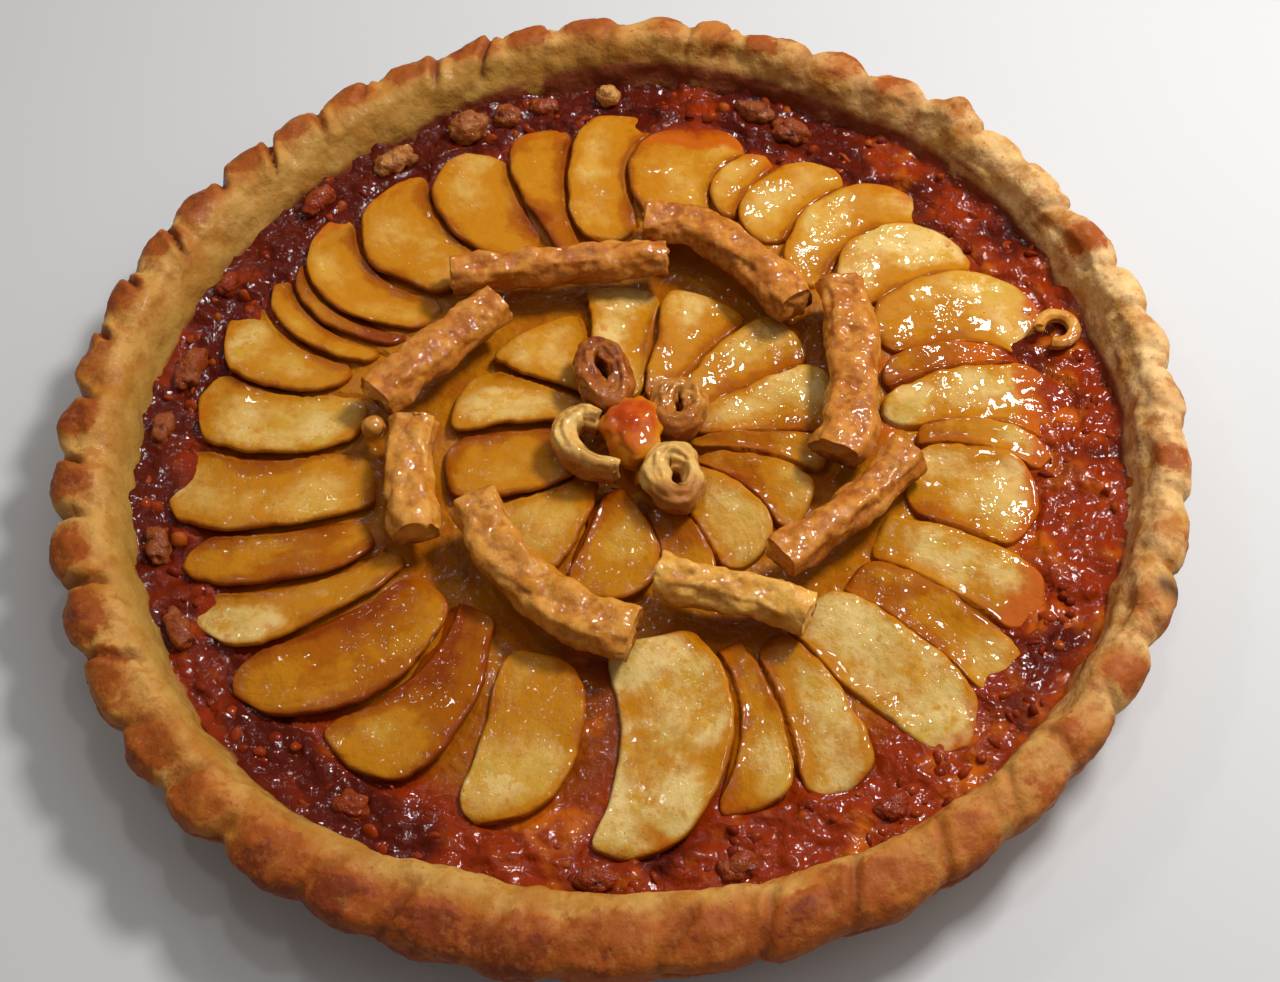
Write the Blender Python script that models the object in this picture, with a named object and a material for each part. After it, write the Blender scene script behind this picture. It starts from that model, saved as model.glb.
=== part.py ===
"""An open fruit tart: fluted crust, jam, two rounds of fruit slices, pastry bars and a pastry flower.

Lengths are written in millimetres and angles in degrees, and every mesh is made in metres by new_piece.
The origin is the middle of the crust's flat base, +Z is up.
"""

import math
import random

import bmesh
import bpy
import numpy as np
from mathutils import Vector
from mathutils.bvhtree import BVHTree

MM = 0.001

# Crust
RIM_RADIUS = 141.4
BASE_RADIUS = 129.5
CREST_HEIGHT = 28.0
FLOOR_HEIGHT = 5.0
FLUTES = 45
POINTS_PER_FLUTE = 4
FLUTE_DEPTH = 4.6
FILLING_OFFSET = 2.6

# Rings of the outer face and of the rim's top: radius, height and how deep the flutes are there
OUTER_FACE = (
    (BASE_RADIUS, 0.0, 0.5),
    (BASE_RADIUS + 2.6, 1.8, 0.75),
    (RIM_RADIUS - 5.6, 9.0, 1.0),
    (RIM_RADIUS - 1.8, 17.0, 1.0),
    (RIM_RADIUS, 23.2, 0.85),
)
RIM_TOP = (
    (RIM_RADIUS - 2.0, CREST_HEIGHT - 1.1, 0.55),
    (RIM_RADIUS - 6.6, CREST_HEIGHT, 0.2),
    (RIM_RADIUS - 11.4, CREST_HEIGHT - 1.1, 0.0),
)
RIM_WIDTH = 14.0

# The inside face from the top down: height and radius, above BEND_HEIGHT it leans with the rim
INSIDE_FACE = ((24.0, 128.0), (19.0, 125.4), (13.0, 123.6), (8.0, 121.5), (FLOOR_HEIGHT, 119.0))
BEND_HEIGHT = 17.0

# Places where the rim is out of true: size, angle and spread in degrees
BACK_RISE = (2.6, 88.0, 17.0)
PINCH = (4.0, 42.0, 1.8)
FRONT_FOLDS = ((4.0, 275.0, 40.0), (3.0, 250.0, 14.0))

# Filling
GAP = 0.35
JAM_CLEARANCE = 1.0
JAM_LEVEL = 14.0
JAM_MIDDLE_LEVEL = 11.0
JAM_RADII = (8.0, 28.0, 46.0, 62.0, 78.0, 92.0, 104.0, 111.0, 117.0)
SLICE_THICKNESS = 3.0
SLICE_STEP = 3.7
CURVED_SIDE = 0.34
STRAIGHT_END = 0.6
TUCK = 2.6
BAR_REST = 18.4
BAR_HEIGHT = 9.0
FLOWER_REST = 17.0
PETAL_HEIGHT = 8.0
PETAL_THICKNESS = 4.4

# Outer round, counter-clockwise from the right: radius at the inner and the outer end, angle of the
# raised edge at the inner end, half-way and at the outer end, and width
OUTER_SLICES = (
    (67, 118, 6.7, 7.8, 4.6, 22),
    (69, 107, 13.8, 13.6, 9.8, 14),
    (73, 120, 26.0, 26.6, 20.6, 20),
    (75, 113, 39.8, 39.4, 34.0, 21),
    (70, 116, 49.2, 50.6, 44.6, 18),
    (74, 110, 62.0, 61.4, 57.6, 19),
    (78, 105, 67.0, 68.6, 65.4, 13),
    (72, 113, 81.8, 84.0, 78.8, 23),
    (65, 116, 96.6, 95.2, 91.4, 20),
    (63, 113, 101.4, 104.6, 102.4, 15),
    (66, 111, 115.6, 119.4, 114.2, 22),
    (66, 112, 132.8, 134.8, 127.0, 21),
    (64, 113, 144.0, 146.4, 137.0, 19),
    (65, 107, 148.8, 150.0, 143.6, 12),
    (68, 110, 155.0, 155.2, 148.8, 12),
    (73, 115, 163.2, 164.8, 159.4, 20),
    (64, 112, 176.0, 178.6, 174.0, 21),
    (61, 116, 197.0, 193.0, 189.0, 20),
    (65, 113, 206.2, 203.6, 197.0, 17),
    (61, 114, 213.2, 212.4, 208.4, 18),
    (59, 114, 228.6, 229.4, 219.0, 23),
    (57, 108, 239.0, 243.2, 239.8, 21),
    (62, 108, 259.6, 261.2, 255.4, 25),
    (56, 112, 287.0, 285.6, 273.0, 29),
    (64, 106, 294.4, 292.4, 289.6, 13),
    (68, 110, 303.0, 301.8, 300.6, 19),
    (66, 118, 316.4, 316.0, 315.0, 22),
    (70, 118, 326.2, 325.2, 323.6, 18),
    (70, 114, 337.6, 336.2, 334.2, 20),
    (72, 107, 353.0, 352.0, 349.4, 18),
    (75, 110, 357.6, 357.0, 354.4, 11),
)
OUTER_DOME = (15.2, 90.0, 34.0, 2.0)

# Outer slices that stand clear of the slice before them
OPEN_JOINTS = (23, 24, 27)

# Inner round, measured the same way from its own middle
INNER_MIDDLE = (4.0, 0.0)
INNER_SLICES = (
    (13, 55, 22.0, 24.0, 22.0, 20),
    (12, 55, 52.0, 50.0, 44.0, 20),
    (12, 51, 76.0, 77.0, 76.0, 20),
    (12, 51, 106.0, 105.0, 103.0, 22),
    (12, 47, 126.0, 137.0, 144.0, 20),
    (12, 49, 160.0, 168.0, 174.0, 20),
    (12, 49, 216.0, 207.0, 198.0, 21),
    (14, 44, 240.0, 243.0, 243.0, 14),
    (13, 47, 266.0, 277.0, 270.0, 18),
    (20, 46, 298.0, 297.0, 296.0, 14),
    (13, 47, 331.0, 328.0, 318.0, 19),
    (15, 49, 347.0, 347.0, 342.0, 16),
    (13, 50, 359.5, 359.0, 357.0, 14),
)
INNER_DOME = (13.0, 30.0, 34.0, 1.0)

# A slice's section (share of its width, side of its middle surface) and where sections stand along it
SLICE_SECTION = ((0.0, 1.0), (0.5, 1.0), (1.0, 0.6), (1.0, -0.6), (0.5, -1.0), (0.0, -1.0))
STATIONS = (0.0, 0.06, 0.2, 0.4, 0.6, 0.8, 0.94, 1.0)

# Pastry bars: points along the middle, width at the first and the last point
BARS = {
    "bar_back": (((-40, 51.6), (-12, 52.4), (17.5, 51.8)), 10, 10),
    "bar_back_right": (((13, 65), (25, 62.5), (35, 53), (44, 42), (49.6, 32)), 13.5, 12),
    "bar_right": (((62.5, 38), (62.5, 22), (60.5, 5), (57.5, -8), (53, -15.5)), 13, 14.5),
    "bar_front_right": (((71, -17), (61, -26.5), (49, -35.5), (36, -44)), 11, 11),
    "bar_front": (((7, -45), (20, -50), (31, -54), (41, -59.5)), 10.8, 10.8),
    "bar_front_left": (((-36, -20), (-31.5, -32), (-22, -46), (-10, -56), (0, -60.5)), 13, 13.5),
    "bar_left": (((-51, 5.5), (-52, -10), (-50.5, -28)), 12.5, 12.5),
    "bar_back_left": (((-28.2, 41.2), (-39, 32.5), (-51, 22), (-60, 13.6)), 12.5, 12.5),
}

# Petals: a strip of pastry on its edge, bent into an oval (middle, half sizes, turn) or along points
OVAL_PETALS = {
    "petal_back": ((-2.0, 15.6), (5.2, 10.0), 10.0),
    "petal_right": ((16.2, 3.4), (5.4, 6.8), -8.0),
    "petal_front": ((13.4, -17.2), (5.6, 8.0), 14.0),
}
LEFT_PETAL = ((-4.2, 1.6), (-8.5, 3.4), (-12.6, 0.2), (-12.0, -6.0), (-7.4, -11.2), (-1.0, -14.2))
DROP = ((3.9, -1.3), (4.8, 5.8), 11.0)

# A bar's section as a share of its width and height, from the flat underside round the top
BAR_SECTION = (
    (0.5, 0.25), (0.3, 0.0), (-0.3, 0.0), (-0.5, 0.25),
    (-0.47, 0.68), (-0.26, 0.97), (0.26, 1.0), (0.47, 0.7),
)

# A curl of pastry in the jam: middle, radius of its bend, thickness
CURL = ((116.6, 20.8), 4.6, 3.6)
CURL_LIFT = 1.2

# Bits lying in the jam: angle, radius, length along the ring, width across it, height
BITS = (
    (163.0, 115.5, 15, 7, 6),
    (172.7, 119.0, 10, 6, 6),
    (190.0, 118.5, 12, 6, 7),
    (202.4, 119.5, 12, 6, 5.5),
    (234.5, 114.5, 9, 7, 5),
    (149.3, 118.0, 8, 5, 5.5),
    (131.4, 118.0, 12, 6, 6),
    (118.8, 116.5, 14, 8, 7),
    (107.4, 117.5, 12, 9, 9),
    (101.6, 117.5, 8, 8, 6),
    (96.2, 119.4, 9, 6, 6),
    (87.0, 119.6, 7, 6, 7),
    (66.3, 119.0, 11, 7, 8),
    (60.4, 116.5, 12, 9, 8),
    (263.6, 116.5, 9, 6, 5),
    (279.0, 117.0, 9, 7, 5),
    (297.0, 118.0, 9, 6, 5),
)


def clean_scene():
    for old in list(bpy.data.objects):
        bpy.data.objects.remove(old)


def material(name, colour, roughness):
    """A plain finish: sRGB-like colour already in linear values, and a roughness."""
    mat = bpy.data.materials.new(name)
    mat.use_nodes = True
    shader = mat.node_tree.nodes["Principled BSDF"]
    shader.inputs["Base Color"].default_value = (*colour, 1.0)
    shader.inputs["Roughness"].default_value = roughness
    return mat


def new_piece(name, points, faces, finish, smooth_angle=50.0):
    """Make one closed mesh object from points in millimetres."""
    mesh = bpy.data.meshes.new(name)
    mesh.from_pydata([(x * MM, y * MM, z * MM) for x, y, z in points], [], faces)
    mesh.validate()
    shape = bmesh.new()
    shape.from_mesh(mesh)
    bmesh.ops.recalc_face_normals(shape, faces=shape.faces)
    shape.to_mesh(mesh)
    shape.free()
    mesh.shade_smooth()
    mesh.set_sharp_from_angle(angle=math.radians(smooth_angle))
    mesh.materials.append(finish)
    piece = bpy.data.objects.new(name, mesh)
    bpy.context.collection.objects.link(piece)
    return piece


def ring_faces(rings, count):
    """Quads between neighbouring rings of count points each."""
    faces = []
    for ring in range(rings - 1):
        for k in range(count):
            after = (k + 1) % count
            low, high = ring * count, (ring + 1) * count
            faces.append((low + k, low + after, high + after, high + k))
    return faces


def wave(angle, seed, low, high):
    """A repeatable wobble between about -1 and 1 round the tart, made of a few sine waves."""
    draw = random.Random(seed)
    total = 0.0
    for turns in range(low, high + 1):
        total += math.sin(turns * angle + draw.uniform(0.0, math.tau)) * draw.uniform(0.5, 1.0)
    return total / math.sqrt(high - low + 1)


# Crust

def swell(angle, middle, spread):
    """A smooth hump round one angle of the tart, given in degrees."""
    away = (math.degrees(angle) - middle + 180.0) % 360.0 - 180.0
    return math.exp(-((away / spread) ** 2))


def flute_turn(angle):
    """Angle that counts the flutes: they crowd a little on one side of the tin and spread on the other."""
    return angle - math.radians(1.0 + 2.5 * math.cos(angle + 0.26))


def flute_lobe(angle):
    """1 on the crown of a flute and 0 in the crease between two flutes."""
    return abs(math.cos(FLUTES * flute_turn(angle) / 2.0)) ** 0.8


def flute_size(angle):
    """Each flute's own size, close to 1."""
    number = round(FLUTES * flute_turn(angle) / math.tau) % FLUTES
    return 1.0 + random.Random(300 + number).uniform(-0.3, 0.3)


def inner_wall_radius(angle, height):
    """Radius of the crust's inside face, which sits a little to the right of the rim."""
    heights, radii = zip(*reversed(INSIDE_FACE))
    radius = float(np.interp(height, heights, radii))
    return radius + FILLING_OFFSET * math.cos(angle) + 0.6 * wave(angle, 7, 2, 5)


def crest_lift(angle):
    """How far the rim's top rises or dips, with a mound on every flute."""
    mound = (flute_lobe(angle) - 0.6) * 1.5 * flute_size(angle)
    rise, middle, spread = BACK_RISE
    return 0.7 * wave(angle, 11, 2, 7) + mound + rise * swell(angle, middle, spread)


def front_fold(angle):
    """How far the rim's top leans inwards, most of all at the front left."""
    return sum(lean * swell(angle, middle, spread) for lean, middle, spread in FRONT_FOLDS)


def pinch(angle):
    """The pinched peak that stands out of the rim at the back right."""
    size, middle, spread = PINCH
    return size * swell(angle, middle, spread)


def crease_depth(angle, fluting):
    """How far the tin's crease between two flutes cuts in at an angle."""
    return FLUTE_DEPTH * fluting * flute_size(angle) * (1.0 - flute_lobe(angle))


def polar(radius, angle, height):
    return radius * math.cos(angle), radius * math.sin(angle), height


def make_crust(finish):
    count = FLUTES * POINTS_PER_FLUTE
    angles = [math.tau * k / count for k in range(count)]
    points = []
    for radius, height, fluting in OUTER_FACE:
        share = height / CREST_HEIGHT
        for angle in angles:
            reach = radius - crease_depth(angle, fluting) + 0.8 * pinch(angle) * share
            points.append(polar(reach, angle, height + 0.7 * crest_lift(angle) * share))
    for radius, height, fluting in RIM_TOP:
        inward = (RIM_RADIUS - radius) / RIM_WIDTH
        for angle in angles:
            shift = inward * (FILLING_OFFSET * math.cos(angle) - front_fold(angle))
            reach = radius - crease_depth(angle, fluting) + shift + 0.5 * pinch(angle)
            points.append(polar(reach, angle, height + crest_lift(angle) + 0.7 * pinch(angle)))
    for height, _ in INSIDE_FACE:
        above = max(0.0, height - BEND_HEIGHT)
        for angle in angles:
            reach = inner_wall_radius(angle, height) - front_fold(angle) * above / 7.0
            points.append(polar(reach, angle, height + crest_lift(angle) * above / CREST_HEIGHT))
    middle_x, middle_y = [(min(p[k] for p in points) + max(p[k] for p in points)) / 2.0 for k in (0, 1)]
    points = [(x - middle_x, y - middle_y, z) for x, y, z in points]
    rings = len(OUTER_FACE) + len(RIM_TOP) + len(INSIDE_FACE)
    faces = ring_faces(rings, count)
    faces.append(tuple(range(count)))
    faces.append(tuple(range((rings - 1) * count, rings * count)))
    return new_piece("crust", points, faces, finish)


# Slices

class SliceRound:
    """A round of slices that lean on each other like roof tiles, each edge raised over the next slice."""

    def __init__(self, names, middle, rows, dome, end_width, open_joints):
        self.names = names
        self.open_joints = open_joints
        self.middle = middle
        self.rows = rows
        self.dome = dome
        self.end_width = end_width

    def edge_angle(self, number, radius):
        """Angle of a slice's raised edge at a radius, in degrees, bowed like a parabola."""
        inner, outer, at_inner, at_middle, at_outer, _ = self.rows[number]
        u = min(1.0, max(0.0, (radius - inner) / (outer - inner)))
        bow = at_middle - (at_inner + at_outer) / 2.0
        return at_inner + (at_outer - at_inner) * u + 4.0 * bow * u * (1.0 - u)

    def tile_number(self, radius, degrees):
        """Whole and half numbers count the slices and their raised edges, smoothly round the tart."""
        count = len(self.rows)
        edges = [self.edge_angle(k, radius) for k in range(count)]
        edges = [edges[-1] - 360.0] + edges + [edges[0] + 360.0, edges[1] + 360.0]
        halves = [k - 0.5 for k in range(count + 3)]
        total = 0.0
        for away in (-4.0, -2.0, 0.0, 2.0, 4.0):
            turned = (degrees + away - edges[0]) % 360.0
            turns = math.floor((degrees + away - edges[0]) / 360.0)
            total += float(np.interp(edges[0] + turned, edges, halves)) + turns * count
        return total / 5.0

    def mid_height(self, number, radius, degrees):
        """Height of a slice's middle surface: each slice lies one step above the next one anywhere."""
        count = len(self.rows)
        lead = self.tile_number(radius, degrees) - number
        lead -= count * round(lead / count)
        height, best_radius, spread, drop = self.dome
        return height - drop * ((radius - best_radius) / spread) ** 2 + SLICE_STEP * lead

    def fullness(self, along, end_width):
        """Share of the full width along a slice, from its blunt ends to its middle."""
        bulge = math.sqrt(max(0.0, 1.0 - abs(2.0 * along - 1.0) ** 2.6))
        return end_width + (1.0 - end_width) * bulge

    def width(self, number, radius):
        """Width at a radius: enough to tuck under the slice before it, but not far past that one."""
        edges = [self.edge_angle((number - back) % len(self.rows), radius) for back in (0, 1, 2)]
        first = math.radians((edges[0] - edges[1]) % 360.0) * radius
        second = math.radians((edges[1] - edges[2]) % 360.0) * radius
        width = self.rows[number][5]
        if number + 1 not in self.open_joints:
            width = max(width, first + TUCK)
        return min(width, first + 0.45 * second)

    def span(self, number, along):
        """Distances of the raised and the hidden edge from the slice's edge line, in millimetres."""
        inner, outer = self.rows[number][:2]
        width = self.width(number, inner + (outer - inner) * along)
        raised = CURVED_SIDE * width * (1.0 - self.fullness(along, self.end_width))
        hidden = width * (CURVED_SIDE + (1.0 - CURVED_SIDE) * self.fullness(along, STRAIGHT_END))
        return raised, hidden

    def make(self, number, finish):
        inner, outer = self.rows[number][:2]
        points = []
        for along in STATIONS:
            radius = inner + (outer - inner) * along
            raised, hidden = self.span(number, along)
            taper = 0.75 if along in (0.0, 1.0) else 1.0
            for across, side in SLICE_SECTION:
                offset = raised + (hidden - raised) * across
                degrees = self.edge_angle(number, radius) - math.degrees(offset / radius)
                height = self.mid_height(number, radius, degrees) + side * taper * SLICE_THICKNESS / 2.0
                angle = math.radians(degrees)
                points.append((self.middle[0] + radius * math.cos(angle),
                               self.middle[1] + radius * math.sin(angle), height))
        size = len(SLICE_SECTION)
        faces = ring_faces(len(STATIONS), size)
        faces.append(tuple(range(size)))
        faces.append(tuple(range((len(STATIONS) - 1) * size, len(STATIONS) * size)))
        return new_piece(self.names % (number + 1), points, faces, finish)

    def underside(self, x, y, margin):
        """Lowest underside of the slices over a point, or None where no slice covers it."""
        dx, dy = x - self.middle[0], y - self.middle[1]
        radius = math.hypot(dx, dy)
        degrees = math.degrees(math.atan2(dy, dx))
        lowest = None
        for number, row in enumerate(self.rows):
            along = (radius - row[0]) / (row[1] - row[0])
            slack = margin / (row[1] - row[0])
            if not -slack < along < 1.0 + slack:
                continue
            raised, hidden = self.span(number, min(1.0, max(0.0, along)))
            turn = (self.edge_angle(number, radius) - degrees + 180.0) % 360.0 - 180.0
            offset = math.radians(turn) * radius
            if raised - margin < offset < hidden + margin:
                under = self.mid_height(number, radius, degrees) - SLICE_THICKNESS / 2.0
                lowest = under if lowest is None else min(lowest, under)
        return lowest


# Jam

def jam_height(rounds, x, y, wanted, margin):
    """Level of the jam, held below every slice near the point."""
    level = wanted
    for reach, steps in ((0.0, 1), (margin * 0.5, 6), (margin, 10)):
        for k in range(steps):
            turn = math.tau * k / steps
            px, py = x + reach * math.cos(turn), y + reach * math.sin(turn)
            for slices in rounds:
                under = slices.underside(px, py, 1.0)
                if under is not None:
                    level = min(level, under - JAM_CLEARANCE)
    return level


def make_jam(rounds, finish):
    count = FLUTES * 2
    side = (FLOOR_HEIGHT + GAP, 8.0 + GAP, JAM_LEVEL - 2.5)
    rings = []
    for height in side:
        ring = []
        for k in range(count):
            angle = math.tau * k / count
            ring.append(polar(inner_wall_radius(angle, height - GAP) - JAM_CLEARANCE, angle, height))
        rings.append(ring)
    edge = []
    for k in range(count):
        angle = math.tau * k / count
        x, y, _ = polar(inner_wall_radius(angle, JAM_LEVEL - 0.5) - JAM_CLEARANCE, angle, 0.0)
        edge.append((x, y, max(JAM_LEVEL - 2.0, jam_height(rounds, x, y, JAM_LEVEL, 3.0))))
    rings.append(edge)
    for radius in reversed(JAM_RADII):
        ring = []
        for k in range(count):
            angle = math.tau * k / count
            shift = FILLING_OFFSET * (radius / JAM_RADII[-1]) ** 4
            x, y = radius * math.cos(angle) + shift * math.cos(angle) ** 2, radius * math.sin(angle)
            wanted = JAM_LEVEL + 0.4 * wave(angle, 23, 5, 14) if radius > 60.0 else JAM_MIDDLE_LEVEL
            margin = 7.0 if radius > 80.0 else 11.0
            ring.append((x, y, max(FLOOR_HEIGHT + 1.5, jam_height(rounds, x, y, wanted, margin))))
        rings.append(ring)
    points = [point for ring in rings for point in ring]
    faces = ring_faces(len(rings), count)
    faces.append(tuple(range(count)))
    faces.append(tuple(range((len(rings) - 1) * count, len(rings) * count)))
    return new_piece("jam", points, faces, finish)


def make_bit(number, row, surface, finish):
    """A rough lump sunk by a third into the jam's surface."""
    degrees, radius, length, width, height = row
    angle = math.radians(degrees)
    radius = min(radius, inner_wall_radius(angle, JAM_LEVEL) - 0.56 * width - JAM_CLEARANCE)
    x, y = radius * math.cos(angle), radius * math.sin(angle)
    hit = surface.ray_cast(Vector((x * MM, y * MM, RIM_RADIUS * MM)), Vector((0.0, 0.0, -1.0)))[0]
    floor = hit.z / MM
    draw = random.Random(500 + number)
    mesh = bmesh.new()
    bmesh.ops.create_icosphere(mesh, subdivisions=1, radius=0.5)
    along = Vector((-math.sin(angle), math.cos(angle), 0.0))
    out = Vector((math.cos(angle), math.sin(angle), 0.0))
    points = []
    for vert in mesh.verts:
        rough = draw.uniform(0.82, 1.12)
        spot = along * (vert.co.x * length * rough) + out * (vert.co.y * width * rough)
        points.append((x + spot.x, y + spot.y, floor + height * (0.2 + vert.co.z * rough)))
    faces = [tuple(v.index for v in face.verts) for face in mesh.faces]
    mesh.free()
    return new_piece("bit_%02d" % number, points, faces, finish)


def join_to(base, others):
    """Fuse loose pieces to the base with one Boolean union and remove the loose ones."""
    group = bpy.data.collections.new("loose_pieces")
    for piece in others:
        group.objects.link(piece)
    fuse = base.modifiers.new("fuse", "BOOLEAN")
    fuse.operation = "UNION"
    fuse.operand_type = "COLLECTION"
    fuse.collection = group
    fuse.solver = "EXACT"
    bpy.context.view_layer.update()
    evaluated = base.evaluated_get(bpy.context.evaluated_depsgraph_get())
    fused = bpy.data.meshes.new_from_object(evaluated)
    base.modifiers.remove(fuse)
    base.data = fused
    for piece in others:
        bpy.data.objects.remove(piece)
    bpy.data.collections.remove(group)


# Pastry bars, petals and curl

def smooth_path(points, steps):
    """Even points on a Catmull-Rom curve through the given ones."""
    spots = [Vector(p) for p in points]
    spots = [spots[0] * 2 - spots[1]] + spots + [spots[-1] * 2 - spots[-2]]
    spans = len(spots) - 3
    path = []
    for k in range(steps + 1):
        at = min(spans * k / steps, spans - 1e-6)
        cell = int(at)
        t = at - cell
        a, b, c, d = spots[cell:cell + 4]
        bend = (2 * a - 5 * b + 4 * c - d) * t * t
        twist = (3 * b - a - 3 * c + d) * t ** 3
        path.append(0.5 * (2 * b + (c - a) * t + bend + twist))
    return path


def sweep(name, path, closed, section, finish):
    """Carry a section along a flat path. section(k) gives (sideways, up) pairs."""
    points = []
    count = len(path)
    for k, spot in enumerate(path):
        if closed:
            ahead = path[(k + 1) % count] - path[k - 1]
        else:
            ahead = path[min(k + 1, count - 1)] - path[max(k - 1, 0)]
        ahead.normalize()
        side = Vector((-ahead.y, ahead.x))
        loop = section(k)
        for away, up in loop:
            points.append((spot.x + side.x * away, spot.y + side.y * away, up))
    size = len(loop)
    faces = ring_faces(count, size)
    if closed:
        last = (count - 1) * size
        for j in range(size):
            after = (j + 1) % size
            faces.append((last + j, last + after, after, j))
    else:
        faces.append(tuple(range(size)))
        faces.append(tuple(range((count - 1) * size, count * size)))
    return new_piece(name, points, faces, finish)


def make_bar(name, finish):
    points, first_width, last_width = BARS[name]
    steps = 7
    path = smooth_path(points, steps)
    draw = random.Random(sum(ord(letter) for letter in name))

    def section(k):
        width = first_width + (last_width - first_width) * k / steps
        loop = []
        for away, up in BAR_SECTION:
            rough = draw.uniform(0.92, 1.0)
            high = BAR_REST + BAR_HEIGHT * up * (rough if up > 0.5 else 1.0)
            loop.append((away * width * rough, high))
        return loop

    return sweep(name, path, False, section, finish)


def petal_section(base):
    """A thin strip standing on its edge, with a rounded top."""
    half = PETAL_THICKNESS / 2.0
    shoulder, top = base + PETAL_HEIGHT * 0.55, base + PETAL_HEIGHT
    foot, crest = half * 0.85, half * 0.5
    return (foot, base), (-foot, base), (-half, shoulder), (-crest, top), (crest, top), (half, shoulder)


def make_oval_petal(name, finish):
    middle, (half_x, half_y), turn = OVAL_PETALS[name]
    turn = math.radians(turn)
    path = []
    for k in range(14):
        angle = math.tau * k / 14
        x, y = half_x * math.cos(angle), half_y * math.sin(angle)
        path.append(Vector((middle[0] + x * math.cos(turn) - y * math.sin(turn),
                            middle[1] + x * math.sin(turn) + y * math.cos(turn))))
    return sweep(name, path, True, lambda k: petal_section(FLOWER_REST), finish)


def make_left_petal(finish):
    path = smooth_path(LEFT_PETAL, 12)
    return sweep("petal_left", path, False, lambda k: petal_section(FLOWER_REST), finish)


def make_drop(finish):
    """The drop of jam in the flower's heart: a foot between the petals and a cap that spreads over them."""
    (x, y), (half_x, half_y), height = DROP
    rings = ((1.0, 0.0), (1.0, 0.72), (1.5, 0.8), (1.48, 0.9), (1.2, 1.02), (0.62, 1.12))
    count = 14
    points = []
    for spread, up in rings:
        for k in range(count):
            angle = math.tau * k / count
            points.append((x + half_x * spread * math.cos(angle), y + half_y * spread * math.sin(angle),
                           FLOWER_REST + height * up))
    faces = ring_faces(len(rings), count)
    faces.append(tuple(range(count)))
    faces.append(tuple(range((len(rings) - 1) * count, len(rings) * count)))
    return new_piece("jam_drop", points, faces, finish)


def make_curl(finish):
    (x, y), bend, thickness = CURL
    steps = 12
    path = []
    for k in range(steps + 1):
        angle = math.radians(-120.0 + 290.0 * k / steps)
        path.append(Vector((x + bend * math.cos(angle), y + bend * math.sin(angle))))
    half = thickness / 2.0
    middle = JAM_LEVEL + CURL_LIFT + half
    turns = [math.tau * j / 6 for j in range(6)]
    loop = [(half * math.cos(turn), middle + half * math.sin(turn)) for turn in turns]
    return sweep("pastry_curl", path, False, lambda k: loop, finish)


def main():
    clean_scene()
    baked = material("baked_crust", (0.55, 0.30, 0.11), 0.6)
    fruit = material("glazed_fruit", (0.62, 0.36, 0.07), 0.18)
    jam_red = material("jam", (0.16, 0.02, 0.004), 0.12)
    pastry = material("glazed_pastry", (0.42, 0.18, 0.05), 0.35)
    outer = SliceRound("outer_slice_%02d", (0.0, 0.0), OUTER_SLICES, OUTER_DOME, 0.42, OPEN_JOINTS)
    inner = SliceRound("inner_slice_%02d", INNER_MIDDLE, INNER_SLICES, INNER_DOME, 0.72, ())
    rounds = (outer, inner)
    make_crust(baked)
    jam = make_jam(rounds, jam_red)
    bpy.context.view_layer.update()
    surface = BVHTree.FromObject(jam, bpy.context.evaluated_depsgraph_get())
    bits = [make_bit(number, row, surface, jam_red) for number, row in enumerate(BITS)]
    join_to(jam, bits)
    for slices in rounds:
        for number in range(len(slices.rows)):
            slices.make(number, fruit)
    for name in BARS:
        make_bar(name, pastry)
    for name in OVAL_PETALS:
        make_oval_petal(name, pastry)
    make_left_petal(pastry)
    make_drop(jam_red)
    make_curl(pastry)


main()
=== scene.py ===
# %% [markdown]
# An apple tart, seen from above and a little in front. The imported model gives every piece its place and
# its size. This script puts a finer surface on each piece and gives it a finish, one piece at a time.
# All lengths below are millimetres and turn into metres when a mesh is made.

# %% Load the frame
import math
import random

import bmesh
import bpy
import numpy as np
from mathutils import Matrix, Vector


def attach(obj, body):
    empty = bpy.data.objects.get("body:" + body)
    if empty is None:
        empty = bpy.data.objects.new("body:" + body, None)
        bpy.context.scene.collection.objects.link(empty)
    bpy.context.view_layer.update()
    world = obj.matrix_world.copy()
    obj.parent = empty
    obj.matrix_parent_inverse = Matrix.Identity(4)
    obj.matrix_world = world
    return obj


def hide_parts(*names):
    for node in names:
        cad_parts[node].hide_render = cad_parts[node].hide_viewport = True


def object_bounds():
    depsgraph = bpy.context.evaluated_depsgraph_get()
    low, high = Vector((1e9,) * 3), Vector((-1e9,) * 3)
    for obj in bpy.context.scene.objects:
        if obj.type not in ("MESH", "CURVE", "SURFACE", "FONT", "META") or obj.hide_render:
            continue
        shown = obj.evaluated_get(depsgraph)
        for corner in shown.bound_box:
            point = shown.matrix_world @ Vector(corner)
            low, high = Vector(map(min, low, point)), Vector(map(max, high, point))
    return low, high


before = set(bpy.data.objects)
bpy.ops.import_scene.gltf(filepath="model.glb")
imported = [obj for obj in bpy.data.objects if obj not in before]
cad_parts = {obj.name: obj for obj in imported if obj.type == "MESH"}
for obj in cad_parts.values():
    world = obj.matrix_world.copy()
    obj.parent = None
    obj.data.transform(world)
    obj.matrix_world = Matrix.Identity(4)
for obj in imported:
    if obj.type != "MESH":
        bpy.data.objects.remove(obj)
cad_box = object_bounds()
MM = 0.001
print("nodes in the frame:", len(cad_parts))

# %% [markdown]
# The camera stands in front of the tart and looks down at 57 degrees. Its lens, tilt and roll were worked
# out from how the round rim and the flat base look in the picture: a circle seen at a slant is an oval,
# and the oval's flatness and lean give the angles. Four small turns, one after the other, set it.

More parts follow.
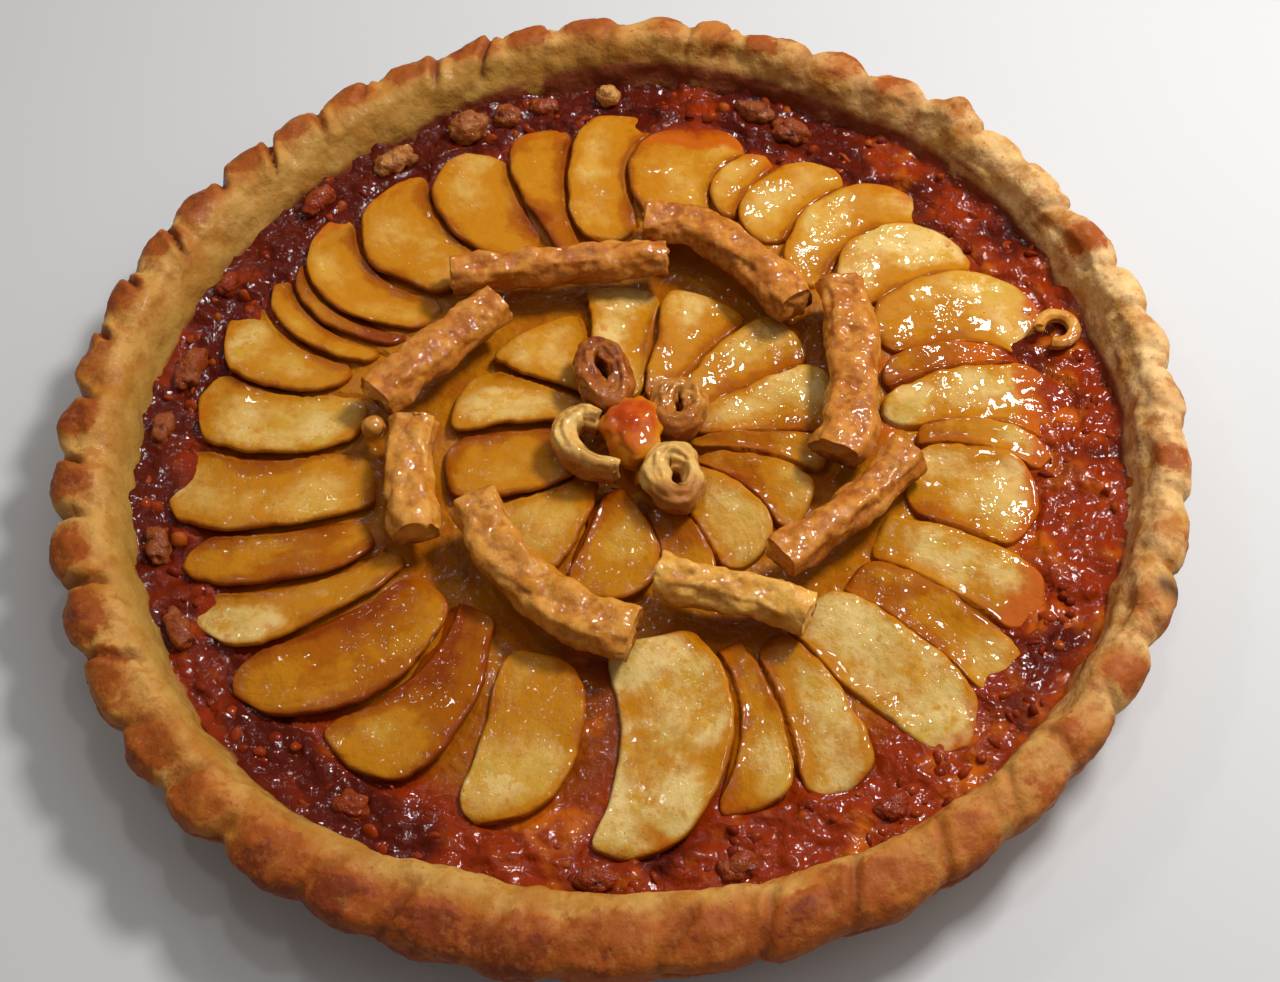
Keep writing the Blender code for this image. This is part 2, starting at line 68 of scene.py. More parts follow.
# %% Camera
LENS = 47.81
SENSOR = 36.0
LOOK_DOWN = 56.61
ROLL = 5.01
NUDGE_UP = -0.681
NUDGE_SIDE = -0.684
CAMERA_PLACE = (0.0, -0.2448, 0.3714)

camera_data = bpy.data.cameras.new("camera")
camera_data.lens = LENS
camera_data.sensor_width = SENSOR
camera = bpy.data.objects.new("camera", camera_data)
bpy.context.collection.objects.link(camera)
turn = Matrix.Rotation(math.radians(90.0 - LOOK_DOWN), 4, "X") @ Matrix.Rotation(math.radians(-ROLL), 4, "Z")
turn = turn @ Matrix.Rotation(math.radians(NUDGE_UP), 4, "X")
turn = turn @ Matrix.Rotation(math.radians(NUDGE_SIDE), 4, "Y")
camera.matrix_world = Matrix.Translation(CAMERA_PLACE) @ turn
bpy.context.scene.camera = camera
print("camera at", CAMERA_PLACE)

# %% [markdown]
# A plain pale floor and soft light. A small bright lamp stands behind the tart on the right, like a window:
# its reflection makes the small white glints on the wet glaze. A glaze mirrors a lamp only where it faces
# half-way between the lamp and the camera, so three weaker lamps put glints on the left, the back and the
# front as well. A large weak lamp and the sky fill the shadows.

# %% Floor and light
FLOOR_SIZE = 6000.0
DAYLIGHT, WARM = (1.0, 0.98, 0.95), (1.0, 0.97, 0.92)
# angle round the tart, angle above the floor, distance, width, height and power
LAMPS = {
    "window": (28.0, 54.0, 0.68, 0.14, 0.10, 3.7, DAYLIGHT),
    "sparkle": (138.0, 55.0, 0.85, 0.06, 0.05, 0.42, DAYLIGHT),
    "glint_back": (107.0, 47.0, 0.95, 0.045, 0.035, 0.24, DAYLIGHT),
    "glint_front": (66.0, 75.0, 0.8, 0.055, 0.045, 0.42, DAYLIGHT),
    "fill": (12.0, 56.0, 0.9, 1.0, 0.8, 1.9, WARM),
}
SKY_COLOUR, SKY_STRENGTH = (1.0, 0.96, 0.90, 1.0), 0.20


def plain_material(name, colour, roughness):
    mat = bpy.data.materials.new(name)
    mat.use_nodes = True
    shader = mat.node_tree.nodes["Principled BSDF"]
    shader.inputs["Base Color"].default_value = (*colour, 1.0)
    shader.inputs["Roughness"].default_value = roughness
    return mat


def area_lamp(name, azimuth, elevation, distance, width, height, power, colour):
    """A soft lamp that looks at the tart from an angle, in degrees and metres."""
    data = bpy.data.lights.new(name, "AREA")
    data.shape = "RECTANGLE"
    data.size = width
    data.size_y = height
    data.energy = power
    data.color = colour
    lamp = bpy.data.objects.new(name, data)
    flat = math.cos(math.radians(elevation))
    away = Vector((flat * math.cos(math.radians(azimuth)), flat * math.sin(math.radians(azimuth)),
                   math.sin(math.radians(elevation))))
    lamp.location = away * distance
    lamp.rotation_euler = away.to_track_quat("Z", "Y").to_euler()
    bpy.context.collection.objects.link(lamp)
    return lamp


half = FLOOR_SIZE * MM / 2.0
floor_mesh = bpy.data.meshes.new("floor")
floor_mesh.from_pydata([(-half, -half, 0.0), (half, -half, 0.0), (half, half, 0.0), (-half, half, 0.0)], [],
                       [(0, 1, 2, 3)])
floor_mesh.materials.append(plain_material("pale_floor", (0.60, 0.61, 0.63), 0.7))
floor = bpy.data.objects.new("floor", floor_mesh)
bpy.context.collection.objects.link(floor)

for name, settings in LAMPS.items():
    area_lamp(name, *settings)
bpy.context.scene.view_settings.view_transform = "Standard"
world = bpy.data.worlds.new("sky")
world.use_nodes = True
world.node_tree.nodes["Background"].inputs["Color"].default_value = SKY_COLOUR
world.node_tree.nodes["Background"].inputs["Strength"].default_value = SKY_STRENGTH
bpy.context.scene.world = world

# %% [markdown]
# Baked and cooked things are uneven at every size. Three small functions give that unevenness as a number
# for every point: smooth bumps, bumps on bumps, and round lumps that crowd together like chunks in jam.
# They are worked out from whole-number grid corners, so every run gives the same surface.

# %% Unevenness
def corner_value(ix, iy, iz, seed):
    """A repeatable number from 0 to 1 for each corner of a grid."""
    mixed = (ix * 374761393 + iy * 668265263 + iz * 1103515245 + seed * 974634777) & 0xFFFFFFFF
    mixed = ((mixed ^ (mixed >> 13)) * 1274126177) & 0xFFFFFFFF
    return ((mixed ^ (mixed >> 16)) & 0xFFFF) / 65535.0


def bumps(points, size, seed):
    """Smooth bumps between -1 and 1, each about size wide."""
    cell = np.asarray(points, float) / size
    low = np.floor(cell).astype(np.int64)
    t = cell - low
    t = t * t * (3.0 - 2.0 * t)
    total = np.zeros(len(cell))
    for corner in range(8):
        step = np.array([corner & 1, (corner >> 1) & 1, (corner >> 2) & 1])
        weight = np.prod(np.where(step == 1, t, 1.0 - t), axis=1)
        total += weight * corner_value(*(low + step).T, seed)
    return 2.0 * total - 1.0


def rough(points, size, octaves, seed):
    """Bumps on bumps: each layer is half as wide and half as high."""
    total = np.zeros(len(points))
    for layer in range(octaves):
        total += bumps(points, size / 2.0 ** layer, seed + layer) / 2.0 ** layer
    return total


def lumps(points, size, seed):
    """Round lumps: 1 at the middle of each, down to 0 between them."""
    cell = np.asarray(points, float) / size
    low = np.floor(cell).astype(np.int64)
    nearest = np.full(len(cell), 9.0)
    for dx in (-1, 0, 1):
        for dy in (-1, 0, 1):
            for dz in (-1, 0, 1):
                at = low + (dx, dy, dz)
                spot = np.stack([corner_value(*at.T, seed + k) for k in range(3)], axis=1) + at
                nearest = np.minimum(nearest, np.linalg.norm(cell - spot, axis=1))
    return np.clip(1.0 - nearest, 0.0, 1.0)


def ramp(value, low, high):
    """0 below low, 1 above high and smooth between."""
    t = np.clip((value - low) / (high - low), 0.0, 1.0)
    return t * t * (3.0 - 2.0 * t)


print("bumps of three points:", bumps([(0, 0, 0), (3, 1, 0), (9, 9, 9)], 4.0, 1).round(2))

# %% [markdown]
# Every piece below ends as a closed mesh. One function makes the object, another lists the quads of a
# surface that is laid out in rows, like a net. A piece may carry values for each point, such as how thick
# the glaze is there, and the materials read them.

# %% Making pieces
def net_faces(rows, columns, closed=True):
    """Quads of a net whose columns run round and meet again when it is closed."""
    index = np.arange(rows * columns).reshape(rows, columns)
    low, high = index[:-1], index[1:]
    if closed:
        sides = (low, np.roll(low, -1, axis=1), np.roll(high, -1, axis=1), high)
    else:
        sides = (low[:, :-1], low[:, 1:], high[:, 1:], high[:, :-1])
    return np.stack([side.ravel() for side in sides], axis=1).tolist()


def cap_faces(first, count, tip):
    """Triangles from a ring to one point that closes it."""
    return [(first + k, first + (k + 1) % count, tip) for k in range(count)]


def keep_values(mesh, values):
    """Keep a number for each point under each name, for the materials and the trees of nodes to read."""
    for key, numbers in values.items():
        layer = mesh.attributes.new(key, "FLOAT", "POINT")
        layer.data.foreach_set("value", np.asarray(numbers, np.float32))


def add_piece(name, points, faces, finish, values=None):
    """Make a closed smooth mesh object with the origin of the tart, and keep values on its points."""
    mesh = bpy.data.meshes.new(name)
    mesh.from_pydata((np.asarray(points) * MM).tolist(), [], faces)
    shape = bmesh.new()
    shape.from_mesh(mesh)
    bmesh.ops.recalc_face_normals(shape, faces=shape.faces)
    shape.to_mesh(mesh)
    shape.free()
    mesh.shade_smooth()
    keep_values(mesh, values or {})
    mesh.materials.append(finish)
    piece = bpy.data.objects.new(name, mesh)
    bpy.context.collection.objects.link(piece)
    return piece


def settle(piece, slot, *nodes):
    """Say what the piece rides on and what it stands for; the slot is not used."""
    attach(piece, "root")
    if nodes:
        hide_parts(*nodes)


def triangles(piece):
    return sum(len(face.vertices) - 2 for face in piece.data.polygons)


# %% [markdown]
# Materials are small trees of nodes. These helpers keep them short: read a value that a piece carries, make
# a blotchy pattern on the piece's own coordinates, turn it into a 0 to 1 mask, and lay a colour over the
# ones before it as far as the mask says, like thin layers of paint.

# %% Helpers for materials
class Finish:
    """A material that is built up from masks and colours, one layer over the other."""

    def __init__(self, name, first_colour, **settings):
        self.material = bpy.data.materials.new(name)
        self.material.use_nodes = True
        self.tree = self.material.node_tree
        self.shader = self.tree.nodes["Principled BSDF"]
        self.place = self.tree.nodes.new("ShaderNodeTexCoord").outputs["Object"]
        self.shade = first_colour
        for socket, value in settings.items():
            self.shader.inputs[socket.replace("_", " ")].default_value = value

    def value(self, name):
        """A number that each point of the piece carries."""
        node = self.tree.nodes.new("ShaderNodeAttribute")
        node.attribute_name = name
        return node.outputs["Fac"]

    def blotches(self, size, low, high, detail=3.0, stretch=(1.0, 1.0, 1.0), sharp=0.5):
        """A mask of blotches, each about size millimetres wide."""
        mapping = self.tree.nodes.new("ShaderNodeMapping")
        mapping.inputs["Scale"].default_value = stretch
        noise = self.tree.nodes.new("ShaderNodeTexNoise")
        noise.inputs["Scale"].default_value = 1.0 / (size * MM)
        noise.inputs["Detail"].default_value = detail
        noise.inputs["Roughness"].default_value = sharp
        self.tree.links.new(self.place, mapping.inputs["Vector"])
        self.tree.links.new(mapping.outputs["Vector"], noise.inputs["Vector"])
        return self.between(noise.outputs["Fac"], low, high)

    def streaks(self, along, across, length, width, low, high):
        """A mask of streaks that follow two values of the piece, both in millimetres."""
        place = self.tree.nodes.new("ShaderNodeCombineXYZ")
        self.tree.links.new(self.sums("DIVIDE", self.value(along), length), place.inputs["X"])
        self.tree.links.new(self.sums("DIVIDE", self.value(across), width), place.inputs["Y"])
        noise = self.tree.nodes.new("ShaderNodeTexNoise")
        noise.inputs["Scale"].default_value = 1.0
        noise.inputs["Detail"].default_value = 3.0
        self.tree.links.new(place.outputs["Vector"], noise.inputs["Vector"])
        return self.between(noise.outputs["Fac"], low, high)

    def between(self, source, low, high):
        """Stretch a number so that low becomes 0 and high becomes 1, smoothly."""
        node = self.tree.nodes.new("ShaderNodeMapRange")
        node.interpolation_type = "SMOOTHSTEP"
        node.inputs["From Min"].default_value = low
        node.inputs["From Max"].default_value = high
        self.tree.links.new(source, node.inputs["Value"])
        return node.outputs["Result"]

    def sums(self, operation, first, second):
        """Arithmetic on two numbers, each a socket or a plain number."""
        node = self.tree.nodes.new("ShaderNodeMath")
        node.operation = operation
        for socket, source in zip(node.inputs, (first, second)):
            if isinstance(source, (int, float)):
                socket.default_value = source
            else:
                self.tree.links.new(source, socket)
        return node.outputs[0]

    def times(self, first, second):
        return self.sums("MULTIPLY", first, second)

    def plus(self, first, second):
        return self.sums("ADD", first, second)

    def over(self, mask, colour, share=1.0):
        """Lay a colour over what is there: fully where the mask is 1, if the share is 1 too."""
        if share < 1.0:
            mask = self.times(mask, share)
        node = self.tree.nodes.new("ShaderNodeMix")
        node.data_type = "RGBA"
        self.tree.links.new(mask, node.inputs["Factor"])
        if isinstance(self.shade, tuple):
            node.inputs["A"].default_value = (*self.shade, 1.0)
        else:
            self.tree.links.new(self.shade, node.inputs["A"])
        node.inputs["B"].default_value = (*colour, 1.0)
        self.shade = node.outputs["Result"]
        self.tree.links.new(self.shade, self.shader.inputs["Base Color"])

    def relief(self, height, depth, sockets=("Normal", "Coat Normal")):
        """Fine relief, in millimetres, too small to be worth mesh points."""
        node = self.tree.nodes.new("ShaderNodeBump")
        node.inputs["Distance"].default_value = depth * MM
        self.tree.links.new(height, node.inputs["Height"])
        for socket in sockets:
            self.tree.links.new(node.outputs["Normal"], self.shader.inputs[socket])


print("helpers ready")

# %% [markdown]
# The crust was baked in a fluted tin, so its outside has 45 round flutes with a crease between each two, and
# its top is a soft rim that swells over each flute. No two flutes are quite alike: the dough was pressed in
# by hand. First come the rules that say how high the rim is and how far it leans at each angle.

# %% The crust's rules
RIM_RADIUS = 141.4
FLUTES = 45
FLUTE_DEPTH = 3.9
CROWDING = 2.5
FILLING_OFFSET = 2.6
FLOOR_HEIGHT = 5.0
# where the four sides lie, in degrees round the tart
AT_RIGHT, AT_BACK, AT_LEFT, AT_FRONT = 0.0, 90.0, 180.0, 270.0
INSIDE_HEIGHTS = (FLOOR_HEIGHT, 8.0, 13.0, 19.0, 24.0)
INSIDE_RADII = (119.0, 121.5, 123.6, 125.4, 128.0)


def wave(angle, seed, low, high):
    """A repeatable wobble round the tart, made of a few sine waves."""
    draw = random.Random(seed)
    total = 0.0
    for turns in range(low, high + 1):
        total = total + np.sin(turns * angle + draw.uniform(0.0, math.tau)) * draw.uniform(0.5, 1.0)
    return total / math.sqrt(high - low + 1)


def swell(angle, middle, spread):
    """A smooth hump round one angle of the tart, given in degrees."""
    away = (np.degrees(angle) - middle + 180.0) % 360.0 - 180.0
    return np.exp(-((away / spread) ** 2))


def stray(angle):
    """How far a crease strays from its even place, in radians: the flutes were pressed in by hand."""
    return np.radians(0.85) * wave(angle, 57, 7, 19)


def flute_turn(angle):
    return angle - np.radians(1.0 + CROWDING * np.cos(angle + 0.26)) + stray(angle)


def flute_lobe(angle, power=0.8):
    """1 on the crown of a flute and 0 in the crease between two flutes."""
    return np.abs(np.cos(FLUTES * flute_turn(angle) / 2.0)) ** power


def flute_size(angle):
    """Each flute's own size, close to 1."""
    sizes = np.array([1.0 + random.Random(300 + k).uniform(-0.3, 0.3) for k in range(FLUTES)])
    return sizes[np.round(FLUTES * flute_turn(angle) / math.tau).astype(int) % FLUTES]


def crest_lift(angle):
    """How far the rim swells over each flute, less at the front, and the part at the back that rose."""
    mound = (flute_lobe(angle) - 0.6) * 1.5 * flute_size(angle)
    mound = mound * (1.0 - 0.6 * swell(angle, AT_FRONT + 2.0, 50.0))
    return 0.7 * wave(angle, 11, 2, 7) + mound + 2.6 * swell(angle, AT_BACK - 2.0, 17.0)


def front_fold(angle):
    """How far the rim leans in over the jam at the front."""
    return 4.0 * swell(angle, AT_FRONT + 5.0, 40.0) + 3.0 * swell(angle, AT_FRONT - 20.0, 14.0)


def pinch(angle):
    """A sharp nip in the dough at the back right."""
    return 4.0 * swell(angle, 42.0, 1.8)


def inner_wall_radius(angle, height):
    radius = np.interp(height, INSIDE_HEIGHTS, INSIDE_RADII)
    return radius + FILLING_OFFSET * np.cos(angle) + 0.6 * wave(angle, 7, 2, 5)


print("rim lifts by", crest_lift(np.radians([0.0, 90.0, 180.0])).round(2))

# %% [markdown]
# The crust could be turned on a lathe and then pushed about by hand. Here a smooth ring is laid out first,
# row by row, from a profile: up the outside, over the rim, down the inside and across the floor. Each point
# remembers how deep the flutes cut there. The flutes themselves come next, from one rule.

# %% A smooth ring
AROUND = FLUTES * 20
ROWS_BETWEEN = 5
# radius, height, flute depth, leans right, folds in, lifts, pinch out, pinch up, wall wobble
PROFILE = (
    (100.0, 0.0, 0.0, 0.0, 0.0, 0.0, 0.0, 0.0, 0.0),
    (126.5, 0.0, 0.4, 0.0, 0.0, 0.0, 0.0, 0.0, 0.0),
    (129.5, 0.5, 0.55, 0.0, 0.0, 0.0, 0.0, 0.0, 0.0),
    (132.1, 2.6, 0.8, 0.0, 0.0, 0.05, 0.1, 0.0, 0.0),
    (135.8, 9.0, 1.0, 0.0, 0.0, 0.23, 0.26, 0.0, 0.0),
    (139.4, 17.0, 1.0, 0.0, 0.0, 0.43, 0.5, 0.0, 0.0),
    (140.6, 20.4, 0.95, 0.0, 0.0, 0.5, 0.6, 0.0, 0.0),
    (140.9, 23.4, 0.85, 0.05, 0.05, 0.65, 0.7, 0.2, 0.0),
    (139.2, 26.3, 0.6, 0.14, 0.14, 0.95, 0.5, 0.7, 0.0),
    (135.0, 27.9, 0.24, 0.46, 0.46, 1.0, 0.5, 0.7, 0.0),
    (130.6, 27.2, 0.05, 0.8, 0.8, 1.0, 0.3, 0.5, 0.4),
    (128.0, 24.4, 0.0, 1.0, 1.0, 0.3, 0.0, 0.0, 1.0),
    (125.4, 19.0, 0.0, 1.0, 0.29, 0.07, 0.0, 0.0, 1.0),
    (123.6, 13.0, 0.0, 1.0, 0.0, 0.0, 0.0, 0.0, 1.0),
    (121.5, 8.0, 0.0, 1.0, 0.0, 0.0, 0.0, 0.0, 1.0),
    (119.0, 5.0, 0.0, 1.0, 0.0, 0.0, 0.0, 0.0, 1.0),
    (100.0, 5.0, 0.0, 0.0, 0.0, 0.0, 0.0, 0.0, 0.0),
)


def curve_point(a, b, c, d, t):
    """A point between b (t = 0) and c (t = 1) on a smooth curve that also heeds a and d."""
    bend = (2 * a - 5 * b + 4 * c - d) * t * t
    twist = (3 * b - a - 3 * c + d) * t ** 3
    return 0.5 * (2 * b + (c - a) * t + bend + twist)


def with_run_out(spots):
    """Add one spot before the first and one after the last, so that a curve can reach both ends."""
    spots = np.asarray(spots, float)
    return np.vstack([2 * spots[0] - spots[1], spots, 2 * spots[-1] - spots[-2]])


def smooth_rows(rows, between):
    """Points on a smooth curve through rows of numbers, with the same number between each two."""
    rows = with_run_out(rows)
    found = []
    for k in range(1, len(rows) - 2):
        found += [curve_point(*rows[k - 1:k + 3], t) for t in np.arange(between) / between]
    return np.array(found + [rows[-2]])


profile = smooth_rows(PROFILE, ROWS_BETWEEN)
profile[:, 1] = np.maximum(profile[:, 1], 0.0)
profile[:, 2] = np.maximum(profile[:, 2], 0.0)
angle = np.tile(math.tau * np.arange(AROUND) / AROUND, len(profile))
radius, height, fluting, right, fold, lift, out, up, wobble = np.repeat(profile, AROUND, axis=0).T
reach = (radius + right * FILLING_OFFSET * np.cos(angle) - fold * front_fold(angle) + out * pinch(angle)
         + wobble * 0.6 * wave(angle, 7, 2, 5))
rise = height + lift * crest_lift(angle) + up * pinch(angle)
ring_points = np.stack([reach * np.cos(angle), reach * np.sin(angle), rise], axis=1)
rows = len(profile)
tips = np.array([[0.0, 0.0, 0.0], [0.0, 0.0, FLOOR_HEIGHT]])
under_tip, floor_tip = rows * AROUND, rows * AROUND + 1
ring_faces = net_faces(rows, AROUND) + cap_faces(0, AROUND, under_tip)
ring_faces += cap_faces((rows - 1) * AROUND, AROUND, floor_tip)
ends = np.zeros(2)
print("ring of", len(ring_points), "points")

# %% [markdown]
# Geometry Nodes suit a shape that follows one rule. The tree below reads each point's angle, works out
# where it is between two creases, and pulls it in towards the middle. Then it pushes the skin in and out a
# little, in puffs and in fine grain, as baked dough has. The sizes are inputs, so the tin can be changed.

# %% A tree of nodes for the flutes
class Tree:
    """A Geometry Nodes tree that is built from short calls."""

    def __init__(self, name, **inputs):
        self.group = bpy.data.node_groups.new(name, "GeometryNodeTree")
        sockets = {"INT": "NodeSocketInt", "FLOAT": "NodeSocketFloat", "MATERIAL": "NodeSocketMaterial"}
        self.group.interface.new_socket("Geometry", in_out="INPUT", socket_type="NodeSocketGeometry")
        for label, kind in inputs.items():
            self.group.interface.new_socket(label, in_out="INPUT", socket_type=sockets[kind])
        self.group.interface.new_socket("Geometry", in_out="OUTPUT", socket_type="NodeSocketGeometry")
        self.given = self.group.nodes.new("NodeGroupInput")

    def add(self, kind, output=0, values=None, **settings):
        """Add a node, fill its inputs by name or number, and return one of its outputs."""
        node = self.group.nodes.new(kind)
        for key, setting in settings.items():
            setattr(node, key, setting)
        for key, source in (values or {}).items():
            if isinstance(source, bpy.types.NodeSocket):
                self.group.links.new(source, node.inputs[key])
            else:
                node.inputs[key].default_value = source
        return node.outputs[output]

    def maths(self, operation, first, second=0.0):
        return self.add("ShaderNodeMath", values={0: first, 1: second}, operation=operation)

    def vector(self, operation, first, second=None, scale=None):
        values = {0: first}
        if second is not None:
            values[1] = second
        if scale is not None:
            values["Scale"] = scale
        return self.add("ShaderNodeVectorMath", values=values, operation=operation)

    def point_value(self, name):
        return self.add("GeometryNodeInputNamedAttribute", values={"Name": name}, data_type="FLOAT")

    def finish(self, geometry, material):
        """Realize what is instanced, give it its material and end the tree."""
        real = self.add("GeometryNodeRealizeInstances", values={0: geometry})
        dressed = self.add("GeometryNodeSetMaterial", values={"Geometry": real, "Material": material})
        last = self.group.nodes.new("NodeGroupOutput")
        self.group.links.new(dressed, last.inputs[0])
        return self.group


def run_tree(piece, group, **inputs):
    """Run a tree on a piece and keep the result as a plain mesh."""
    change = piece.modifiers.new("nodes", "NODES")
    change.node_group = group
    for item in group.interface.items_tree:
        if item.in_out == "INPUT" and item.name in inputs:
            change[item.identifier] = inputs[item.name]
    bpy.context.view_layer.update()
    result = piece.evaluated_get(bpy.context.evaluated_depsgraph_get())
    mesh = bpy.data.meshes.new_from_object(result)
    piece.modifiers.remove(change)
    old = piece.data
    piece.data = mesh
    bpy.data.meshes.remove(old)
    return piece


flutes = Tree("fluted_rim", **{"Flutes": "INT", "Flute Depth": "FLOAT", "Crowding": "FLOAT", "Puff": "FLOAT",
                               "Flakes": "FLOAT", "Grain": "FLOAT", "Material": "MATERIAL"})
around = flutes.point_value("angle")
swing = flutes.maths("MULTIPLY", flutes.maths("COSINE", flutes.maths("ADD", around, 0.26)),
                     flutes.maths("RADIANS", flutes.given.outputs["Crowding"]))
turned = flutes.maths("SUBTRACT", flutes.maths("SUBTRACT", around, math.radians(1.0)), swing)
turned = flutes.maths("ADD", turned, flutes.point_value("stray"))
half_turns = flutes.maths("MULTIPLY", turned, flutes.maths("DIVIDE", flutes.given.outputs["Flutes"], 2.0))
lobe = flutes.maths("POWER", flutes.maths("ABSOLUTE", flutes.maths("COSINE", half_turns)), 0.8)
depth = flutes.maths("MULTIPLY", flutes.given.outputs["Flute Depth"], flutes.point_value("fluting"))
crease = flutes.maths("MULTIPLY", depth, flutes.maths("SUBTRACT", 1.0, lobe))
place = flutes.add("GeometryNodeInputPosition")
outwards = flutes.vector("NORMALIZE", flutes.vector("MULTIPLY", place, (1.0, 1.0, 0.0)))
inward = flutes.vector("SCALE", outwards, scale=flutes.maths("MULTIPLY", crease, -1.0))
fluted = flutes.add("GeometryNodeSetPosition",
                    values={"Geometry": flutes.given.outputs["Geometry"], "Offset": inward})
skin = flutes.point_value("skin")
height_now = flutes.add("ShaderNodeSeparateXYZ", output=2, values={0: place})
far_out = flutes.vector("LENGTH", flutes.vector("MULTIPLY", place, (1.0, 1.0, 0.0)))
far_out = far_out.node.outputs["Value"]
along_ring = flutes.maths("MULTIPLY", around, 0.14 / 1.6)
leaves = flutes.add("ShaderNodeCombineXYZ", values={0: along_ring, 1: far_out, 2: height_now})
pushed = fluted
for size, strength, detail in ((13.0, "Puff", 3.0), (5.5, "Flakes", 4.0), (1.5, "Grain", 3.0)):
    pattern = flutes.add("ShaderNodeTexNoise", values={"Scale": 1.0 / (size * MM), "Detail": detail})
    if strength == "Flakes":
        flutes.group.links.new(leaves, pattern.node.inputs["Vector"])
    amount = flutes.maths("MULTIPLY", flutes.maths("SUBTRACT", pattern, 0.5), flutes.given.outputs[strength])
    push = flutes.vector("SCALE", flutes.add("GeometryNodeInputNormal"),
                         scale=flutes.maths("MULTIPLY", amount, skin))
    pushed = flutes.add("GeometryNodeSetPosition", values={"Geometry": pushed, "Offset": push})
    print("relief", strength, "of", size, "mm")
flutes.finish(pushed, flutes.given.outputs["Material"])
print("tree with", len(flutes.group.nodes), "nodes")

# %% [markdown]
# Baked dough is golden where it is thick, pale in the folds and orange-brown where a mound stood nearest to
# the heat. On the inside the jam boiled up and left a dark red-brown stain, and the dough above the stain is
# olive at the left and at the back. Painted shade darkens the creases and cracks, the outside low down and
# along the front, and the stain where it climbs at the back; painted light makes the right inner wall paler.
# The finish lays these colours over each other by blotches and by the values that the points carry.

# %% Finish of the crust
PALE_DOUGH, PALE_AND_LIT_DOUGH, OLIVE = (0.58, 0.30, 0.070), (0.84, 0.57, 0.26), (0.36, 0.20, 0.030)
GOLDEN, AMBER_CRUST, TOASTED = (0.43, 0.150, 0.014), (0.42, 0.110, 0.007), (0.33, 0.070, 0.005)
DARK_TOAST, SCORCHED = (0.20, 0.032, 0.004), (0.09, 0.022, 0.004)
JAM_STAIN_AND_SHADE, CREASE_SHADE = (0.20, 0.038, 0.010), (0.16, 0.034, 0.004)

crust = Finish("baked_crust", PALE_DOUGH, Roughness=0.62, Specular_IOR_Level=0.22, Coat_Roughness=0.12,
               Coat_IOR=1.42)
crust.over(crust.blotches(14.0, 0.40, 0.62, 4.0, sharp=0.6), GOLDEN)
# Paler on the right: partly the dough's own tone, partly painted light on the inner wall in the lamp's
# shadow.
crust.over(crust.times(crust.value("pale_and_lit"), crust.blotches(8.0, 0.35, 0.6, 5.0, sharp=0.65)), PALE_AND_LIT_DOUGH)
# The mounds' browning, with painted shade low on the outside and along the front.
toasting_and_shade = crust.times(crust.blotches(11.0, 0.38, 0.66, 6.0, sharp=0.68), 1.1)
toasting_and_shade = crust.plus(toasting_and_shade, crust.value("toast_and_shade"))
crust.over(crust.between(crust.value("toast_and_shade"), -0.1, 1.0), AMBER_CRUST, 0.85)
crust.over(crust.between(toasting_and_shade, 0.85, 1.45), TOASTED)
crust.over(crust.between(toasting_and_shade, 1.75, 2.3), DARK_TOAST)
crust.over(crust.blotches(5.0, 0.50, 0.62, 6.0, sharp=0.65), TOASTED, 0.5)
crust.over(crust.blotches(2.6, 0.52, 0.66, 5.0, sharp=0.7), PALE_DOUGH, 0.2)
crust.over(crust.blotches(1.3, 0.66, 0.78, 2.0), TOASTED)
crust.over(crust.value("scorch"), SCORCHED)
crust.over(crust.value("olive"), OLIVE, 0.8)
# The jam's stain on the inner wall; where it climbs higher at the back it is partly painted shade.
stain_and_shade = crust.times(crust.value("stain_and_shade"), crust.blotches(9.0, 0.2, 0.5))
crust.over(crust.between(stain_and_shade, 0.05, 0.75), JAM_STAIN_AND_SHADE)
# Painted shade: the creases and cracks are darker.
crust.over(crust.value("fold"), CREASE_SHADE)
crust.tree.links.new(crust.value("wet"), crust.shader.inputs["Coat Weight"])
crust.relief(crust.blotches(1.6, 0.3, 0.7, 4.0), 0.12)
print("crust finish has", len(crust.tree.nodes), "nodes")

# %% [markdown]
# Where two flutes meet, the dough was pinched, so a crease runs from the outside over the rim, a little at a
# slant, and the dough beside it puffs up. Lower on the outside the skin cracked in level lines. Such lines
# are sharper than a tree of nodes makes easily, so they are pressed into the mesh, point by point.

# %% Creases over the rim
CREASE_REACH = 23.0
CREASE_WIDTH = 1.1
CRACKS = ((15.0, 330), (18.4, 331), (21.6, 332))


